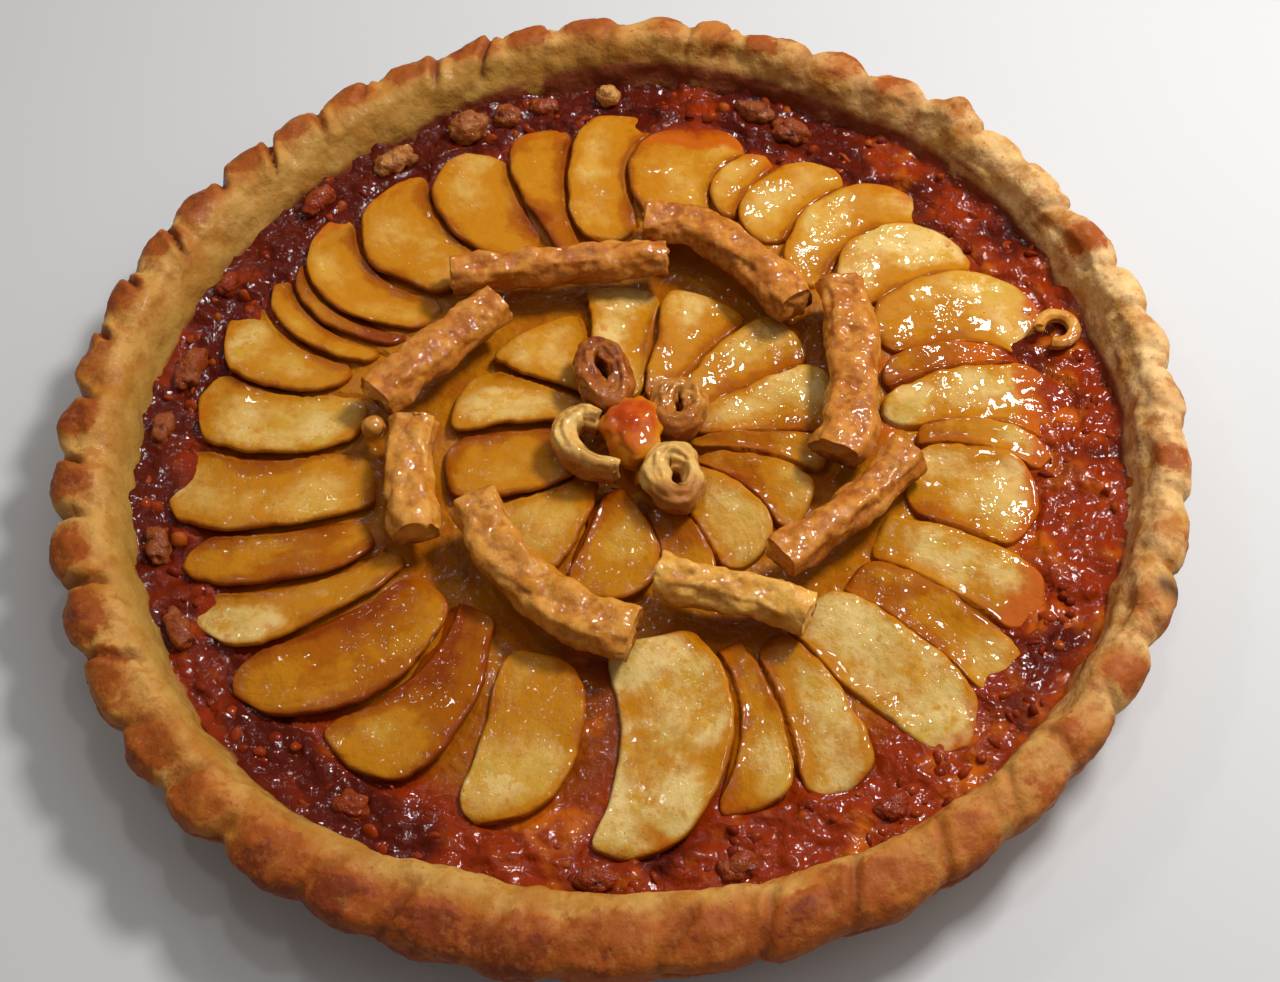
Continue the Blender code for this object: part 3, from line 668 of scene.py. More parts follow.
def cut_creases(points):
    """Press creases into the rim and cracks into its outside, in place; their depth is returned for painted
    shade.
    """
    radius, theta = np.hypot(points[:, 0], points[:, 1]), np.arctan2(points[:, 1], points[:, 0])
    draw = random.Random(77)
    deepest = np.zeros(len(points))
    on_rim = ramp(points[:, 2], 21.0, 25.0) * ramp(radius, 124.0, 130.0)
    for flute in range(FLUTES):
        middle = math.tau * (flute + 0.5) / FLUTES + draw.uniform(-0.02, 0.02)
        strong = 0.4 + 1.3 * float(swell(np.array(middle), AT_LEFT - 30.0, 55.0)) + 0.6 * draw.random()
        slant = draw.uniform(0.2, 0.75)
        length = draw.uniform(0.45, 1.0) * CREASE_REACH
        inward = RIM_RADIUS - radius
        line = middle + slant * inward / RIM_RADIUS
        away = np.abs((flute_turn(theta) - line + math.pi) % math.tau - math.pi) * radius
        away = away + 0.5 * bumps(points, 3.0, 310)
        here = ramp(-inward, -length, -length + 5.0) * on_rim
        depth = strong * np.exp(-(away / CREASE_WIDTH) ** 2) * here
        puffed = 0.35 * strong * np.exp(-((away - 2.6) / 1.5) ** 2) * here
        points[:, 2] += 1.2 * puffed - 1.35 * depth
        deepest = np.maximum(deepest, 0.5 * depth)
    lip = 0.9 * wave(theta, 29, 8, 40) * on_rim * ramp(-radius, -134.0, -129.5)
    cracks = np.zeros(len(points))
    for level, seed in CRACKS:
        line = level + 1.2 * wave(theta, seed, 5, 30) + 0.5 * bumps(points, 2.5, seed)
        broken = ramp(wave(theta, seed + 9, 8, 33), -0.2, 0.5) * ramp(radius, 124.0, 128.0)
        cracks = np.maximum(cracks, broken * np.exp(-((points[:, 2] - line) / 0.55) ** 2))
    lip = lip + 0.8 * cracks
    points[:, 0] -= lip * np.cos(theta)
    points[:, 1] -= lip * np.sin(theta)
    return np.clip(deepest + 0.75 * cracks, 0.0, 1.0)


print("creases:", FLUTES)

# %% Bake the crust
smoothed = 1.0 - 0.75 * swell(angle, AT_FRONT + 2.0, 50.0) * ramp(height, 10.0, 21.0)
crust_piece = add_piece("fluted_crust", np.vstack([ring_points, tips]), ring_faces, crust.material, {
    "angle": np.concatenate([angle, ends]),
    "stray": np.concatenate([stray(angle), ends]),
    "fluting": np.concatenate([fluting * flute_size(angle) * smoothed, ends]),
    "skin": np.concatenate([np.clip(height / 4.0, 0.0, 1.0) * (radius > 118.0), ends]),
})
run_tree(crust_piece, flutes.group, Material=crust.material, **{
    "Flutes": FLUTES, "Flute Depth": FLUTE_DEPTH * MM, "Crowding": CROWDING, "Puff": 3.4 * MM,
    "Flakes": 3.0 * MM, "Grain": 0.25 * MM})
crust_points = np.empty(len(crust_piece.data.vertices) * 3)
crust_piece.data.vertices.foreach_get("co", crust_points)
crust_points = crust_points.reshape(-1, 3) / MM
# How deep the creases and cracks are, which the finish paints as shade.
fold = cut_creases(crust_points)
box_low, box_high = np.array(cad_box[0]) / MM, np.array(cad_box[1]) / MM
for axis in (0, 1):
    low, high = crust_points[:, axis].min(), crust_points[:, axis].max()
    crust_points[:, axis] -= (low + high) / 2.0
    crust_points[:, axis] *= min(1.0, (box_high[axis] - box_low[axis]) / (high - low))
crust_points[:, 2] = np.clip(crust_points[:, 2], box_low[2], box_high[2])
crust_piece.data.vertices.foreach_set("co", (crust_points * MM).ravel())
print("crust:", triangles(crust_piece), "triangles")

# %% [markdown]
# Now that the crust has its shape, each point learns how it was baked. The mounds on the outside of the rim
# browned most, above all at the left and the front. The outside is also darker low down and along the front,
# which is partly painted shade, and the right side is paler: partly its own tone, partly painted light on the
# inner wall that the lamp leaves in shadow. The inner wall took up the jam's stain and is wet in places; at
# the back the stain climbs higher, partly as painted shade on the wall that faces the camera. One spot at the
# front right is scorched nearly black.

# %% How each part of the crust was baked
x, y, z = crust_points.T
theta = np.arctan2(y, x)
from_middle = np.hypot(x, y)
facing = ramp(from_middle, 126.0, 134.0)
outside = ramp(from_middle, 131.0, 138.0)
wall = 1.0 - ramp(from_middle - FILLING_OFFSET * np.cos(theta), 125.0, 131.5)
mound = (flute_lobe(theta) - 0.5) * facing * ramp(z, 12.0, 24.0)
heat = 1.0 + 0.6 * swell(theta, AT_LEFT - 30.0, 45.0) - 0.8 * swell(theta, AT_FRONT - 2.0, 45.0)
heat += 0.5 * swell(theta, AT_FRONT + 55.0, 26.0)
toast_and_shade = 1.3 * mound * flute_size(theta) ** 2 * heat + 0.45 * rough(crust_points, 20.0, 3, 61)
# Painted shade: darker low on the outside, under the swell of the rim, and along the front edge.
toast_and_shade += 0.5 * outside * ramp(-z, -25.0, -17.0)
front_edge = ramp(from_middle + 3.0 * rough(crust_points, 9.0, 3, 62), 124.5, 130.5)
toast_and_shade += 1.0 * swell(theta, AT_FRONT - 8.0, 46.0) * front_edge
toast_and_shade += (0.6 * swell(theta, AT_FRONT - 20.0, 36.0) + 0.55 * swell(theta, AT_BACK + 30.0, 45.0)) * facing
toast_and_shade -= 0.35 * swell(theta, AT_RIGHT + 10.0, 45.0) + 0.3 * ramp(-from_middle, -133.0, -128.0)
# Painted light, in part: paler on the right, also up the inner wall that the lamp leaves in shadow.
pale_and_lit = 0.8 * swell(theta, AT_RIGHT + 10.0, 46.0) * ramp(z, 8.0, 15.0)
olive = wall * swell(theta, AT_LEFT + 5.0, 62.0) * ramp(z, 10.0, 14.0)
olive = np.maximum(olive, 0.75 * swell(theta, AT_BACK + 18.0, 44.0) * (1.0 - facing))
# Top of the stain: higher at the back, partly as painted shade on the inner wall that faces the camera.
stain_and_shade_top = 15.2 + 7.0 * swell(theta, AT_BACK - 12.0, 36.0) + 1.0 * swell(theta, AT_RIGHT + 20.0, 30.0)
stain_and_shade_top += 1.2 * wave(theta, 19, 6, 16)
scorch = 0.95 * np.exp(-((theta + math.radians(27.0)) / 0.02) ** 2) * ramp(from_middle, 133.0, 137.0)
wet = 0.9 * wall * ramp(rough(crust_points, 7.0, 2, 63) - 0.35 * (z - 20.0), -1.2, 0.6)
wet_rim = 0.35 * swell(theta, AT_LEFT - 40.0, 60.0) * ramp(rough(crust_points, 9.0, 2, 64), -0.2, 0.7)
keep_values(crust_piece.data, {
    "toast_and_shade": toast_and_shade, "stain_and_shade": wall * ramp(stain_and_shade_top - z, -2.5, 2.5), "scorch": scorch, "fold": fold,
    "wet": np.maximum(wet, wet_rim), "pale_and_lit": pale_and_lit, "olive": olive})
settle(crust_piece, "crust", "crust")
print("most toasted:", toast_and_shade.max().round(2))

# %% [markdown]
# The fruit lies in two rounds. Each slice leans on the next one like a roof tile, so one edge is raised and
# the other is hidden. A slice could be placed by hand, but 44 slices that lean on each other are surer by a
# rule: count the raised edges round the tart, smoothly, and lift each slice one step above the next.

# %% Where the slices lie
# radius at the inner and outer end, angle of the raised edge at the inner end, half-way and at the outer
# end, and width
OUTER_SLICES = (
    (67, 118, 6.7, 7.8, 4.6, 22), (69, 107, 13.8, 13.6, 9.8, 14), (73, 120, 26.0, 26.6, 20.6, 20),
    (75, 113, 39.8, 39.4, 34.0, 21), (70, 116, 49.2, 50.6, 44.6, 18), (74, 110, 62.0, 61.4, 57.6, 19),
    (78, 105, 67.0, 68.6, 65.4, 13), (72, 113, 81.8, 84.0, 78.8, 23), (65, 116, 96.6, 95.2, 91.4, 20),
    (63, 113, 101.4, 104.6, 102.4, 15), (66, 111, 115.6, 119.4, 114.2, 22),
    (66, 112, 132.8, 134.8, 127.0, 21), (64, 113, 144.0, 146.4, 137.0, 19),
    (65, 107, 148.8, 150.0, 143.6, 12), (68, 110, 155.0, 155.2, 148.8, 12),
    (73, 115, 163.2, 164.8, 159.4, 20), (64, 112, 176.0, 178.6, 174.0, 21),
    (61, 116, 197.0, 193.0, 189.0, 20), (65, 113, 206.2, 203.6, 197.0, 17),
    (61, 114, 213.2, 212.4, 208.4, 18), (59, 114, 228.6, 229.4, 219.0, 23),
    (57, 108, 239.0, 243.2, 239.8, 21), (62, 108, 259.6, 261.2, 255.4, 25),
    (56, 112, 287.0, 285.6, 273.0, 29), (64, 106, 294.4, 292.4, 289.6, 13),
    (68, 110, 303.0, 301.8, 300.6, 19), (66, 118, 316.4, 316.0, 315.0, 22),
    (70, 118, 326.2, 325.2, 323.6, 18), (70, 114, 337.6, 336.2, 334.2, 20),
    (72, 107, 353.0, 352.0, 349.4, 18), (75, 110, 357.6, 357.0, 354.4, 11),
)
INNER_SLICES = (
    (13, 55, 22.0, 24.0, 22.0, 20), (12, 55, 52.0, 50.0, 44.0, 20), (12, 51, 76.0, 77.0, 76.0, 20),
    (12, 51, 106.0, 105.0, 103.0, 22), (12, 47, 126.0, 137.0, 144.0, 20), (12, 49, 160.0, 168.0, 174.0, 20),
    (12, 49, 216.0, 207.0, 198.0, 21), (14, 44, 240.0, 243.0, 243.0, 14), (13, 47, 266.0, 277.0, 270.0, 18),
    (20, 46, 298.0, 297.0, 296.0, 14), (13, 47, 331.0, 328.0, 318.0, 19), (15, 49, 347.0, 347.0, 342.0, 16),
    (13, 50, 359.5, 359.0, 357.0, 14),
)
OUTER_DOME = (15.2, 90.0, 34.0, 2.0)
INNER_DOME = (13.0, 30.0, 34.0, 1.0)
INNER_MIDDLE = (4.0, 0.0)
SLICE_THICKNESS = 3.0
SLICE_STEP = 3.7
CURVED_SIDE = 0.34
STRAIGHT_END = 0.6
TUCK = 2.6
# outer slices that stand clear of the slice before them
OPEN_JOINTS = (23, 24, 27)


class SliceRound:
    """A round of slices that lean on each other like roof tiles."""

    def __init__(self, label, middle, rows, dome, end_width, open_joints):
        self.label, self.middle, self.rows, self.dome, self.end_width = label, middle, rows, dome, end_width
        self.count, self.open_joints = len(rows), open_joints

    def edge_angle(self, number, radius):
        """Angle of a slice's raised edge at each radius, in degrees."""
        inner, outer, at_inner, at_middle, at_outer, _ = self.rows[number % self.count]
        u = np.clip((radius - inner) / (outer - inner), 0.0, 1.0)
        bow = at_middle - (at_inner + at_outer) / 2.0
        return at_inner + (at_outer - at_inner) * u + 4.0 * bow * u * (1.0 - u)

    def tile_number(self, radius, degrees):
        """Whole and half numbers count the slices and their raised edges, smoothly round the tart."""
        edges = [self.edge_angle(k, radius) for k in range(self.count)]
        edges = [edges[-1] - 360.0] + edges + [edges[0] + 360.0, edges[1] + 360.0]
        total = np.zeros_like(radius)
        for away in (-4.0, -2.0, 0.0, 2.0, 4.0):
            turns = np.floor((degrees + away - edges[0]) / 360.0)
            at = degrees + away - turns * 360.0
            share = np.zeros_like(radius)
            for low, high in zip(edges[:-1], edges[1:]):
                share += np.clip((at - low) / (high - low), 0.0, 1.0)
            total += share - 0.5 + turns * self.count
        return total / 5.0

    def mid_height(self, number, radius, degrees):
        lead = self.tile_number(radius, degrees) - number
        lead -= self.count * np.round(lead / self.count)
        height, best_radius, spread, drop = self.dome
        return height - drop * ((radius - best_radius) / spread) ** 2 + SLICE_STEP * lead

    def width(self, number, radius):
        """Width at each radius: enough to tuck under the slice before it, but not far past that one."""
        edges = [self.edge_angle(number - back, radius) for back in (0, 1, 2)]
        first = np.radians((edges[0] - edges[1]) % 360.0) * radius
        second = np.radians((edges[1] - edges[2]) % 360.0) * radius
        width = self.rows[number % self.count][5]
        if number % self.count + 1 not in self.open_joints:
            width = np.maximum(width, first + TUCK)
        return np.minimum(width, first + 0.45 * second)

    def span(self, number, along):
        """Distances of the raised and the hidden edge from the slice's edge line."""
        inner, outer = self.rows[number % self.count][:2]
        width = self.width(number, inner + (outer - inner) * along)
        bulge = np.sqrt(np.clip(1.0 - np.abs(2.0 * along - 1.0) ** 2.6, 0.0, 1.0))
        raised = CURVED_SIDE * width * (1.0 - self.end_width) * (1.0 - bulge)
        straight = STRAIGHT_END + (1.0 - STRAIGHT_END) * bulge
        return raised, width * (CURVED_SIDE + (1.0 - CURVED_SIDE) * straight)

    def beyond_edge(self, number, radius, degrees):
        """How far a point lies outside the raised edge of a slice, in millimetres, negative on the slice."""
        inner, outer = self.rows[number % self.count][:2]
        along = np.clip((radius - inner) / (outer - inner), 0.0, 1.0)
        raised = self.span(number, along)[0]
        turn = (degrees - self.edge_angle(number, radius) + 180.0) % 360.0 - 180.0
        past_end = np.maximum(np.maximum(inner - radius, radius - outer), 0.0)
        return np.hypot(np.maximum(np.radians(turn) * radius + raised, 0.0), past_end)


outer_round = SliceRound("outer", (0.0, 0.0), OUTER_SLICES, OUTER_DOME, 0.42, OPEN_JOINTS)
inner_round = SliceRound("inner", INNER_MIDDLE, INNER_SLICES, INNER_DOME, 0.72, ())
print("slices:", outer_round.count + inner_round.count)

# %% [markdown]
# One slice is a flat piece of soft fruit: its raised side slopes down, because that is the round outside of
# the fruit, and its edges are soft from baking. The mesh goes round its section and along its length. Each
# point also learns how much caramel lies on it: thick in the joint under the next slice and down the sloping
# side, thin on the middle. Near the tart's rim the red jam has run over the ends.

# %% One slice
ALONG, TOP_POINTS, UNDER_POINTS = 78, 34, 10
SLOPE, EDGE_ROUND, END_ROUND = 3.6, 1.0, 1.8
# how far the outer end is bitten in and its corner cut off, at least and at most
BITE, CORNER = (1.5, 8.0), (2.0, 6.0)
RAGGED_SIZE, RAGGED_RAISED, RAGGED_HIDDEN = 11.0, 0.95, 0.6
GLAZE_FILLET, DIMPLES = 1.6, (0.24, 0.09)


def soft_edge(distance, width):
    """0 at an edge and 1 further in than width, round like a quarter circle."""
    t = np.clip(1.0 - distance / width, 0.0, 1.0)
    return np.sqrt(1.0 - t * t)


def common_relief(x, y):
    """Waves that all slices share, so that they bend together and never cross."""
    flat = np.stack([x, y, np.zeros_like(x)], axis=1)
    return 0.6 * bumps(flat, 19.0, 41) + 0.14 * bumps(flat, 8.0, 42)


def end_dip(round_of, radius):
    """The outer ends of the outer round sink a little into the jam."""
    return 2.2 * ramp(radius, 99.0, 118.0) if round_of.label == "outer" else np.zeros_like(radius)


def slice_mesh(round_of, number):
    """Points, faces and values of one slice."""
    inner, outer = round_of.rows[number][:2]
    seed = 1000 + 50 * number + (7 if round_of.label == "inner" else 0)
    along = (1.0 - np.cos(math.pi * np.arange(ALONG) / (ALONG - 1))) / 2.0
    along = 0.35 * along + 0.65 * np.linspace(0.0, 1.0, ALONG)
    top = (1.0 - np.cos(math.pi * np.arange(TOP_POINTS) / (TOP_POINTS - 1))) / 2.0
    top = 0.5 * top + 0.5 * np.linspace(0.0, 1.0, TOP_POINTS)
    under = np.linspace(1.0, 0.0, UNDER_POINTS + 2)[1:-1]
    across = np.concatenate([top, under])
    side = np.concatenate([np.ones(TOP_POINTS), -np.ones(UNDER_POINTS)])
    columns = len(across)
    s, across, side = np.repeat(along, columns), np.tile(across, ALONG), np.tile(side, ALONG)
    draw = random.Random(seed + 9)
    bite = draw.uniform(*BITE) if round_of.label == "outer" else draw.uniform(0.0, 2.0)
    first, last = inner + draw.uniform(0.0, 1.5), outer - 0.4
    radius = first + (last - first) * s
    radius = radius - bite * ramp(s, 0.55, 1.0) * np.abs(across - draw.uniform(0.35, 0.75)) ** 1.4
    to_end = np.minimum(s, 1.0 - s) * (last - first)
    raised, hidden = round_of.span(number, s)
    corner = draw.uniform(*CORNER) * (1.0 - soft_edge(to_end, draw.uniform(3.0, 9.0)))
    track = np.stack([radius, np.full_like(radius, 9.0 * number), np.zeros_like(radius)], axis=1)
    raised = raised + corner
    raised = raised + RAGGED_RAISED * (1.0 + rough(track, RAGGED_SIZE, 4, seed)) * ramp(to_end, 0.0, 5.0)
    hidden = hidden - 0.7 * corner - RAGGED_HIDDEN * (1.0 + rough(track, RAGGED_SIZE, 3, seed + 20))
    hidden = np.maximum(hidden, raised + 1.0)
    offset = raised + (hidden - raised) * across
    degrees = round_of.edge_angle(number, radius) - np.degrees(offset / radius)
    theta = np.radians(degrees)
    x = round_of.middle[0] + radius * np.cos(theta)
    y = round_of.middle[1] + radius * np.sin(theta)
    from_raised, from_hidden = offset - raised, hidden - offset
    end = soft_edge(to_end, END_ROUND)
    above = soft_edge(from_raised, SLOPE) * 0.5 + soft_edge(from_raised, EDGE_ROUND) * 0.5
    above *= soft_edge(from_hidden, EDGE_ROUND) * end
    below = soft_edge(from_raised, EDGE_ROUND) * soft_edge(from_hidden, EDGE_ROUND) * end
    flat = np.stack([x, y, np.full_like(x, 10.0 * number)], axis=1)
    covered = round_of.beyond_edge(number - 1, radius, degrees)
    on_show = ramp(covered, 0.0, 0.4)
    fillet = GLAZE_FILLET * np.exp(-covered / 1.5) * on_show
    own = DIMPLES[0] * bumps(flat, 8.0, seed + 1) + DIMPLES[1] * rough(flat, 3.2, 3, seed + 2)
    own = own * (0.3 + 0.7 * on_show)
    height = round_of.mid_height(number, radius, degrees) + common_relief(x, y) - end_dip(round_of, radius)
    half_thick = SLICE_THICKNESS / 2.0
    height += np.where(side > 0.0, above * (half_thick + own + fillet), -below * half_thick)
    points = np.stack([x, y, height], axis=1)
    ends = points.reshape(ALONG, columns, 3)[[0, -1]].mean(axis=1)
    faces = net_faces(ALONG, columns) + cap_faces(0, columns, ALONG * columns)
    faces += cap_faces((ALONG - 1) * columns, columns, ALONG * columns + 1)
    values = caramel(round_of, number, x, y, radius, degrees, covered, from_raised, to_end, flat, seed)
    for key in values:
        values[key] = np.concatenate([values[key], values[key][[0, -1]]])
    return np.vstack([points, ends]), faces, values


# how pale a slice is (0 to 1) and how red its outer end is, where one stands out from the rest
PALE = {1: 0.8, 2: 0.4, 3: 0.35, 4: 0.8, 5: 0.35, 8: 0.1, 9: 0.25, 10: 0.25, 11: 0.45, 12: 0.45, 13: 0.2,
        14: 0.3, 16: 0.4, 17: 0.5, 18: 0.4, 19: 0.15, 20: 0.85, 21: -0.8, 22: -0.5, 24: 0.95, 26: 0.85,
        27: 0.95, 28: 0.45, 29: 0.85, 30: 0.6, 31: 0.85}
INNER_PALE = {3: 0.65, 4: 0.8, 5: 0.45, 6: 0.7, 7: -0.45, 8: 0.3, 9: 0.1}
RED_END = {1: 1.0, 2: 0.9, 3: 0.5, 5: 0.4, 6: 0.4, 7: 0.5, 8: 0.8, 13: 0.4, 27: 0.5, 29: 0.5, 30: 0.6,
           31: 0.7}


def caramel(round_of, number, x, y, radius, degrees, covered, from_raised, to_end, flat, seed):
    """How much glaze, jam and paleness each point of a slice has, and where it lies on the slice."""
    draw = random.Random(seed)
    outer_round_here = round_of.label == "outer"
    pale = 0.34 + 0.2 * float(np.cos(np.mean(np.arctan2(y, x)) + 0.3)) + draw.uniform(-0.12, 0.12)
    red = 0.25
    pale = (PALE if outer_round_here else INNER_PALE).get(number + 1, pale)
    if outer_round_here:
        red = RED_END.get(number + 1, red)
    patch = rough(flat, 15.0, 3, seed + 5)
    uneven = 1.0 + 0.5 * patch
    joint = np.exp(-covered / ((2.6 + 2.2 * draw.random()) * np.clip(uneven, 0.4, 1.6)))
    slope = np.exp(-from_raised / (1.9 * np.clip(uneven, 0.5, 1.5)))
    tip = np.exp(-to_end / 2.6)
    glaze = 1.25 * joint + 0.95 * slope + 0.5 * tip + 0.42 * patch + 0.40 - 0.55 * pale
    jam = np.zeros_like(x)
    if outer_round_here:
        outer = round_of.rows[number][1]
        jam = red * ramp(radius + 5.0 * patch, outer - 6.0 - 16.0 * red, outer + 1.0)
    return {"glaze": glaze, "jam": jam, "pale": np.clip(pale + 0.25 * patch, 0.0, 1.0),
            "lengthwise": radius, "crosswise": from_raised + 40.0 * number}


print("points in a slice:", ALONG * (TOP_POINTS + UNDER_POINTS) + 2)

# %% [markdown]
# Cooked fruit under clear glaze is cream where it is bare, amber where the glaze is thin and brown where it
# is thick. The glaze itself is a clear coat: the shader's coat layer gives it, with a fine ripple that
# breaks the reflection of the window into small glints.

# %% Finish of the fruit
FLESH, CREAM, AMBER, CARAMEL, BURNT = ((0.58, 0.29, 0.032), (0.73, 0.52, 0.20), (0.48, 0.180, 0.006),
                                       (0.35, 0.092, 0.002), (0.23, 0.038, 0.001))
JAM_THIN, JAM_RED, JAM_DARK = (0.46, 0.095, 0.003), (0.24, 0.023, 0.002), (0.085, 0.007, 0.002)

TORN, YELLOWED, BROWNED = (0.74, 0.54, 0.21), (0.50, 0.33, 0.045), (0.50, 0.150, 0.005)
# a wet clear glaze: the coat gives the glints, so the fruit below it has no shine of its own
WET = {"Roughness": 0.5, "Specular_IOR_Level": 0.0, "Coat_Weight": 1.0, "Coat_Roughness": 0.03,
       "Coat_IOR": 1.3}

fruit = Finish("glazed_fruit", FLESH, **WET)
fruit.over(fruit.times(fruit.value("pale"), fruit.blotches(7.0, 0.36, 0.56, 6.0, sharp=0.65)), CREAM)
bare = fruit.between(fruit.value("glaze"), 0.7, 0.0)
fruit.over(fruit.times(fruit.blotches(8.0, 0.515, 0.545, 8.0, sharp=0.72), bare), TORN, 0.6)
fruit.over(fruit.blotches(9.0, 0.45, 0.65, 3.0), YELLOWED, 0.45)
fruit.over(fruit.blotches(5.5, 0.58, 0.68, 5.0, sharp=0.6), BROWNED, 0.55)
fibres = fruit.streaks("lengthwise", "crosswise", 11.0, 1.7, 0.3, 0.7)
unevenness = fruit.plus(fruit.times(fruit.blotches(4.0, 0.3, 0.75, 6.0, sharp=0.65), 0.3),
                        fruit.times(fibres, 0.07))
glaze = fruit.plus(fruit.value("glaze"), fruit.plus(unevenness, -0.1))
for colour, low, high in ((AMBER, -0.05, 0.62), (CARAMEL, 0.72, 1.2), (BURNT, 1.25, 1.8)):
    fruit.over(fruit.between(glaze, low, high), colour)
jam_on_it = fruit.plus(fruit.value("jam"), fruit.times(fruit.blotches(4.0, 0.3, 0.7), 0.15))
fruit.over(fruit.between(jam_on_it, 0.2, 0.5), JAM_THIN)
fruit.over(fruit.between(jam_on_it, 0.6, 0.95), JAM_RED)
fruit.over(fruit.blotches(0.8, 0.74, 0.8, 1.0), CARAMEL)
ripple = fruit.times(fruit.blotches(4.4, 0.2, 0.8, 2.0, sharp=0.42), fruit.blotches(13.0, 0.33, 0.56, 1.0))
fruit.relief(ripple, 0.72, ("Coat Normal",))
fine_skin = fruit.plus(fruit.times(fibres, 0.35), fruit.blotches(3.0, 0.3, 0.7, 5.0, sharp=0.6))
fruit.relief(fine_skin, 0.16, ("Normal",))
print("fruit finish has", len(fruit.tree.nodes), "nodes")

# %% Lay the slices
slice_pieces = []
for round_of in (outer_round, inner_round):
    for number in range(round_of.count):
        node = "%s_slice_%02d" % (round_of.label, number + 1)
        points, faces, values = slice_mesh(round_of, number)
        piece = add_piece("glazed_" + node, points, faces, fruit.material, values)
        settle(piece, "fruit", node)
        slice_pieces.append(piece)
print("slices:", len(slice_pieces), "pieces,", sum(triangles(p) for p in slice_pieces), "triangles")

# %% [markdown]
# The jam fills the space under the fruit and stands open in a ring inside the crust. It is a lumpy liquid
# that has set, so one height for each place is enough: level, lumps that crowd near the rim, and a little
# climb up the wall. It stays just below the top of any slice that lies over it.

# %% The jam's height
JAM_COLUMNS = 780
# rows lie close together in the open ring of jam and further apart under the fruit
JAM_ROWS = np.concatenate([np.arange(4.0, 90.0, 1.3), np.arange(90.0, 125.0, 0.62)])


def slices_above(x, y):
    """Height of the highest slice top over each point, and a low number where there is none."""
    highest = np.full_like(x, -50.0)
    for round_of in (outer_round, inner_round):
        dx, dy = x - round_of.middle[0], y - round_of.middle[1]
        radius, degrees = np.hypot(dx, dy), np.degrees(np.arctan2(dy, dx))
        for number in range(round_of.count):
            inner, outer = round_of.rows[number][:2]
            turn = (round_of.edge_angle(number, radius) - degrees + 180.0) % 360.0 - 180.0
            near = (radius > inner) & (radius < outer) & (np.abs(turn) < 75.0)
            if not near.any():
                continue
            r, d = radius[near], degrees[near]
            raised, hidden = round_of.span(number, (r - inner) / (outer - inner))
            offset = np.radians(turn[near]) * r
            top = round_of.mid_height(number, r, d) + SLICE_THICKNESS / 2.0 + common_relief(x[near], y[near])
            top = top - end_dip(round_of, r)
            inside = (offset > raised + 0.4) & (offset < hidden - 0.4)
            highest[near] = np.where(inside, np.maximum(highest[near], top), highest[near])
    return highest


wall_angles = math.tau * np.arange(JAM_COLUMNS) / JAM_COLUMNS
wall_radii = inner_wall_radius(wall_angles, 15.0) + 1.2
share = np.concatenate([JAM_ROWS / 125.0, [1.0]])
grid_radius = (share[:, None] * wall_radii[None, :]).ravel()
grid_angle = np.tile(wall_angles, len(share))
to_wall = np.tile(wall_radii, len(share)) - grid_radius
x, y = grid_radius * np.cos(grid_angle), grid_radius * np.sin(grid_angle)
flat = np.stack([x, y, np.zeros_like(x)], axis=1)
near_rim = ramp(grid_radius, 97.0, 113.0)
chunk, pebble, grit = lumps(flat, 7.5, 71), lumps(flat, 3.4, 75), lumps(flat, 1.9, 76)
level = 11.2 + 2.6 * ramp(grid_radius, 52.0, 72.0) + 0.5 * wave(grid_angle, 23, 5, 14) * near_rim
tops = slices_above(x, y)
fine = near_rim * (1.6 * pebble + 0.6 * grit) * (tops < 0.0)
swelling = 2.2 * chunk ** 1.3 * np.where(tops < 0.0, 1.0, 0.4) - 0.7 + 0.7 * rough(flat, 12.0, 2, 78)
level += near_rim * swelling + fine
level += 0.35 * bumps(flat, 6.0, 79) + 1.6 * np.exp(-to_wall / 1.4)
lid = tops - 1.1 + 7.0 * ramp(grid_radius + 2.5 * bumps(flat, 8.0, 90), 104.0, 112.0)
height = np.where(tops > 0.0, np.minimum(level, lid), level)
jam_depth_and_shade = 0.4 + 0.65 * rough(flat, 17.0, 3, 83) + 0.4 * (1.0 - chunk)
# Painted shade: the jam is darker towards the back left.
jam_depth_and_shade = (jam_depth_and_shade + 0.42 * np.cos(grid_angle - math.radians(130.0))) * near_rim
print("jam surface of", len(x), "points, from", height.min().round(1), "to", height.max().round(1), "mm")

# %% [markdown]
# Thin jam lets the light through and glows orange-red; thick jam is almost black with a purple tinge. Nearer
# the middle there is only caramel, which is brown. The jam is painted more orange towards the front right, as
# painted light, and darker towards the back left, as painted shade; the syrup at the front and under the bars
# is darker, partly as painted shade. All of it is wet, so the coat is full and smooth.

# %% Finish of the jam
SYRUP, CLEAR_SYRUP, DARK_SYRUP_AND_SHADE = (0.37, 0.098, 0.003), (0.42, 0.14, 0.004), (0.20, 0.034, 0.003)

jam = Finish("set_jam", SYRUP, **WET)
jam.over(jam.blotches(9.0, 0.35, 0.6), CLEAR_SYRUP)
# Darker syrup at the front and under the bars: partly its own colour, partly painted shade.
jam.over(jam.value("dark_syrup_and_shade"), DARK_SYRUP_AND_SHADE)
jam.over(jam.value("rim"), JAM_RED)
# Thin jam is more orange, and painted light makes it more orange towards the front right.
thin_and_lit_glow = jam.plus(jam.times(jam.blotches(7.0, 0.35, 0.75, 4.0), 0.6), jam.value("thin_and_lit"))
jam.over(jam.between(thin_and_lit_glow, 0.65, 1.35), JAM_THIN)
# Thick jam is darker, and painted shade darkens it towards the back left.
jam.over(jam.between(jam.value("depth"), 0.35, 0.95), JAM_DARK)
jam.relief(jam.blotches(2.4, 0.25, 0.75, 2.0, sharp=0.4), 0.34)
print("jam finish has", len(jam.tree.nodes), "nodes")

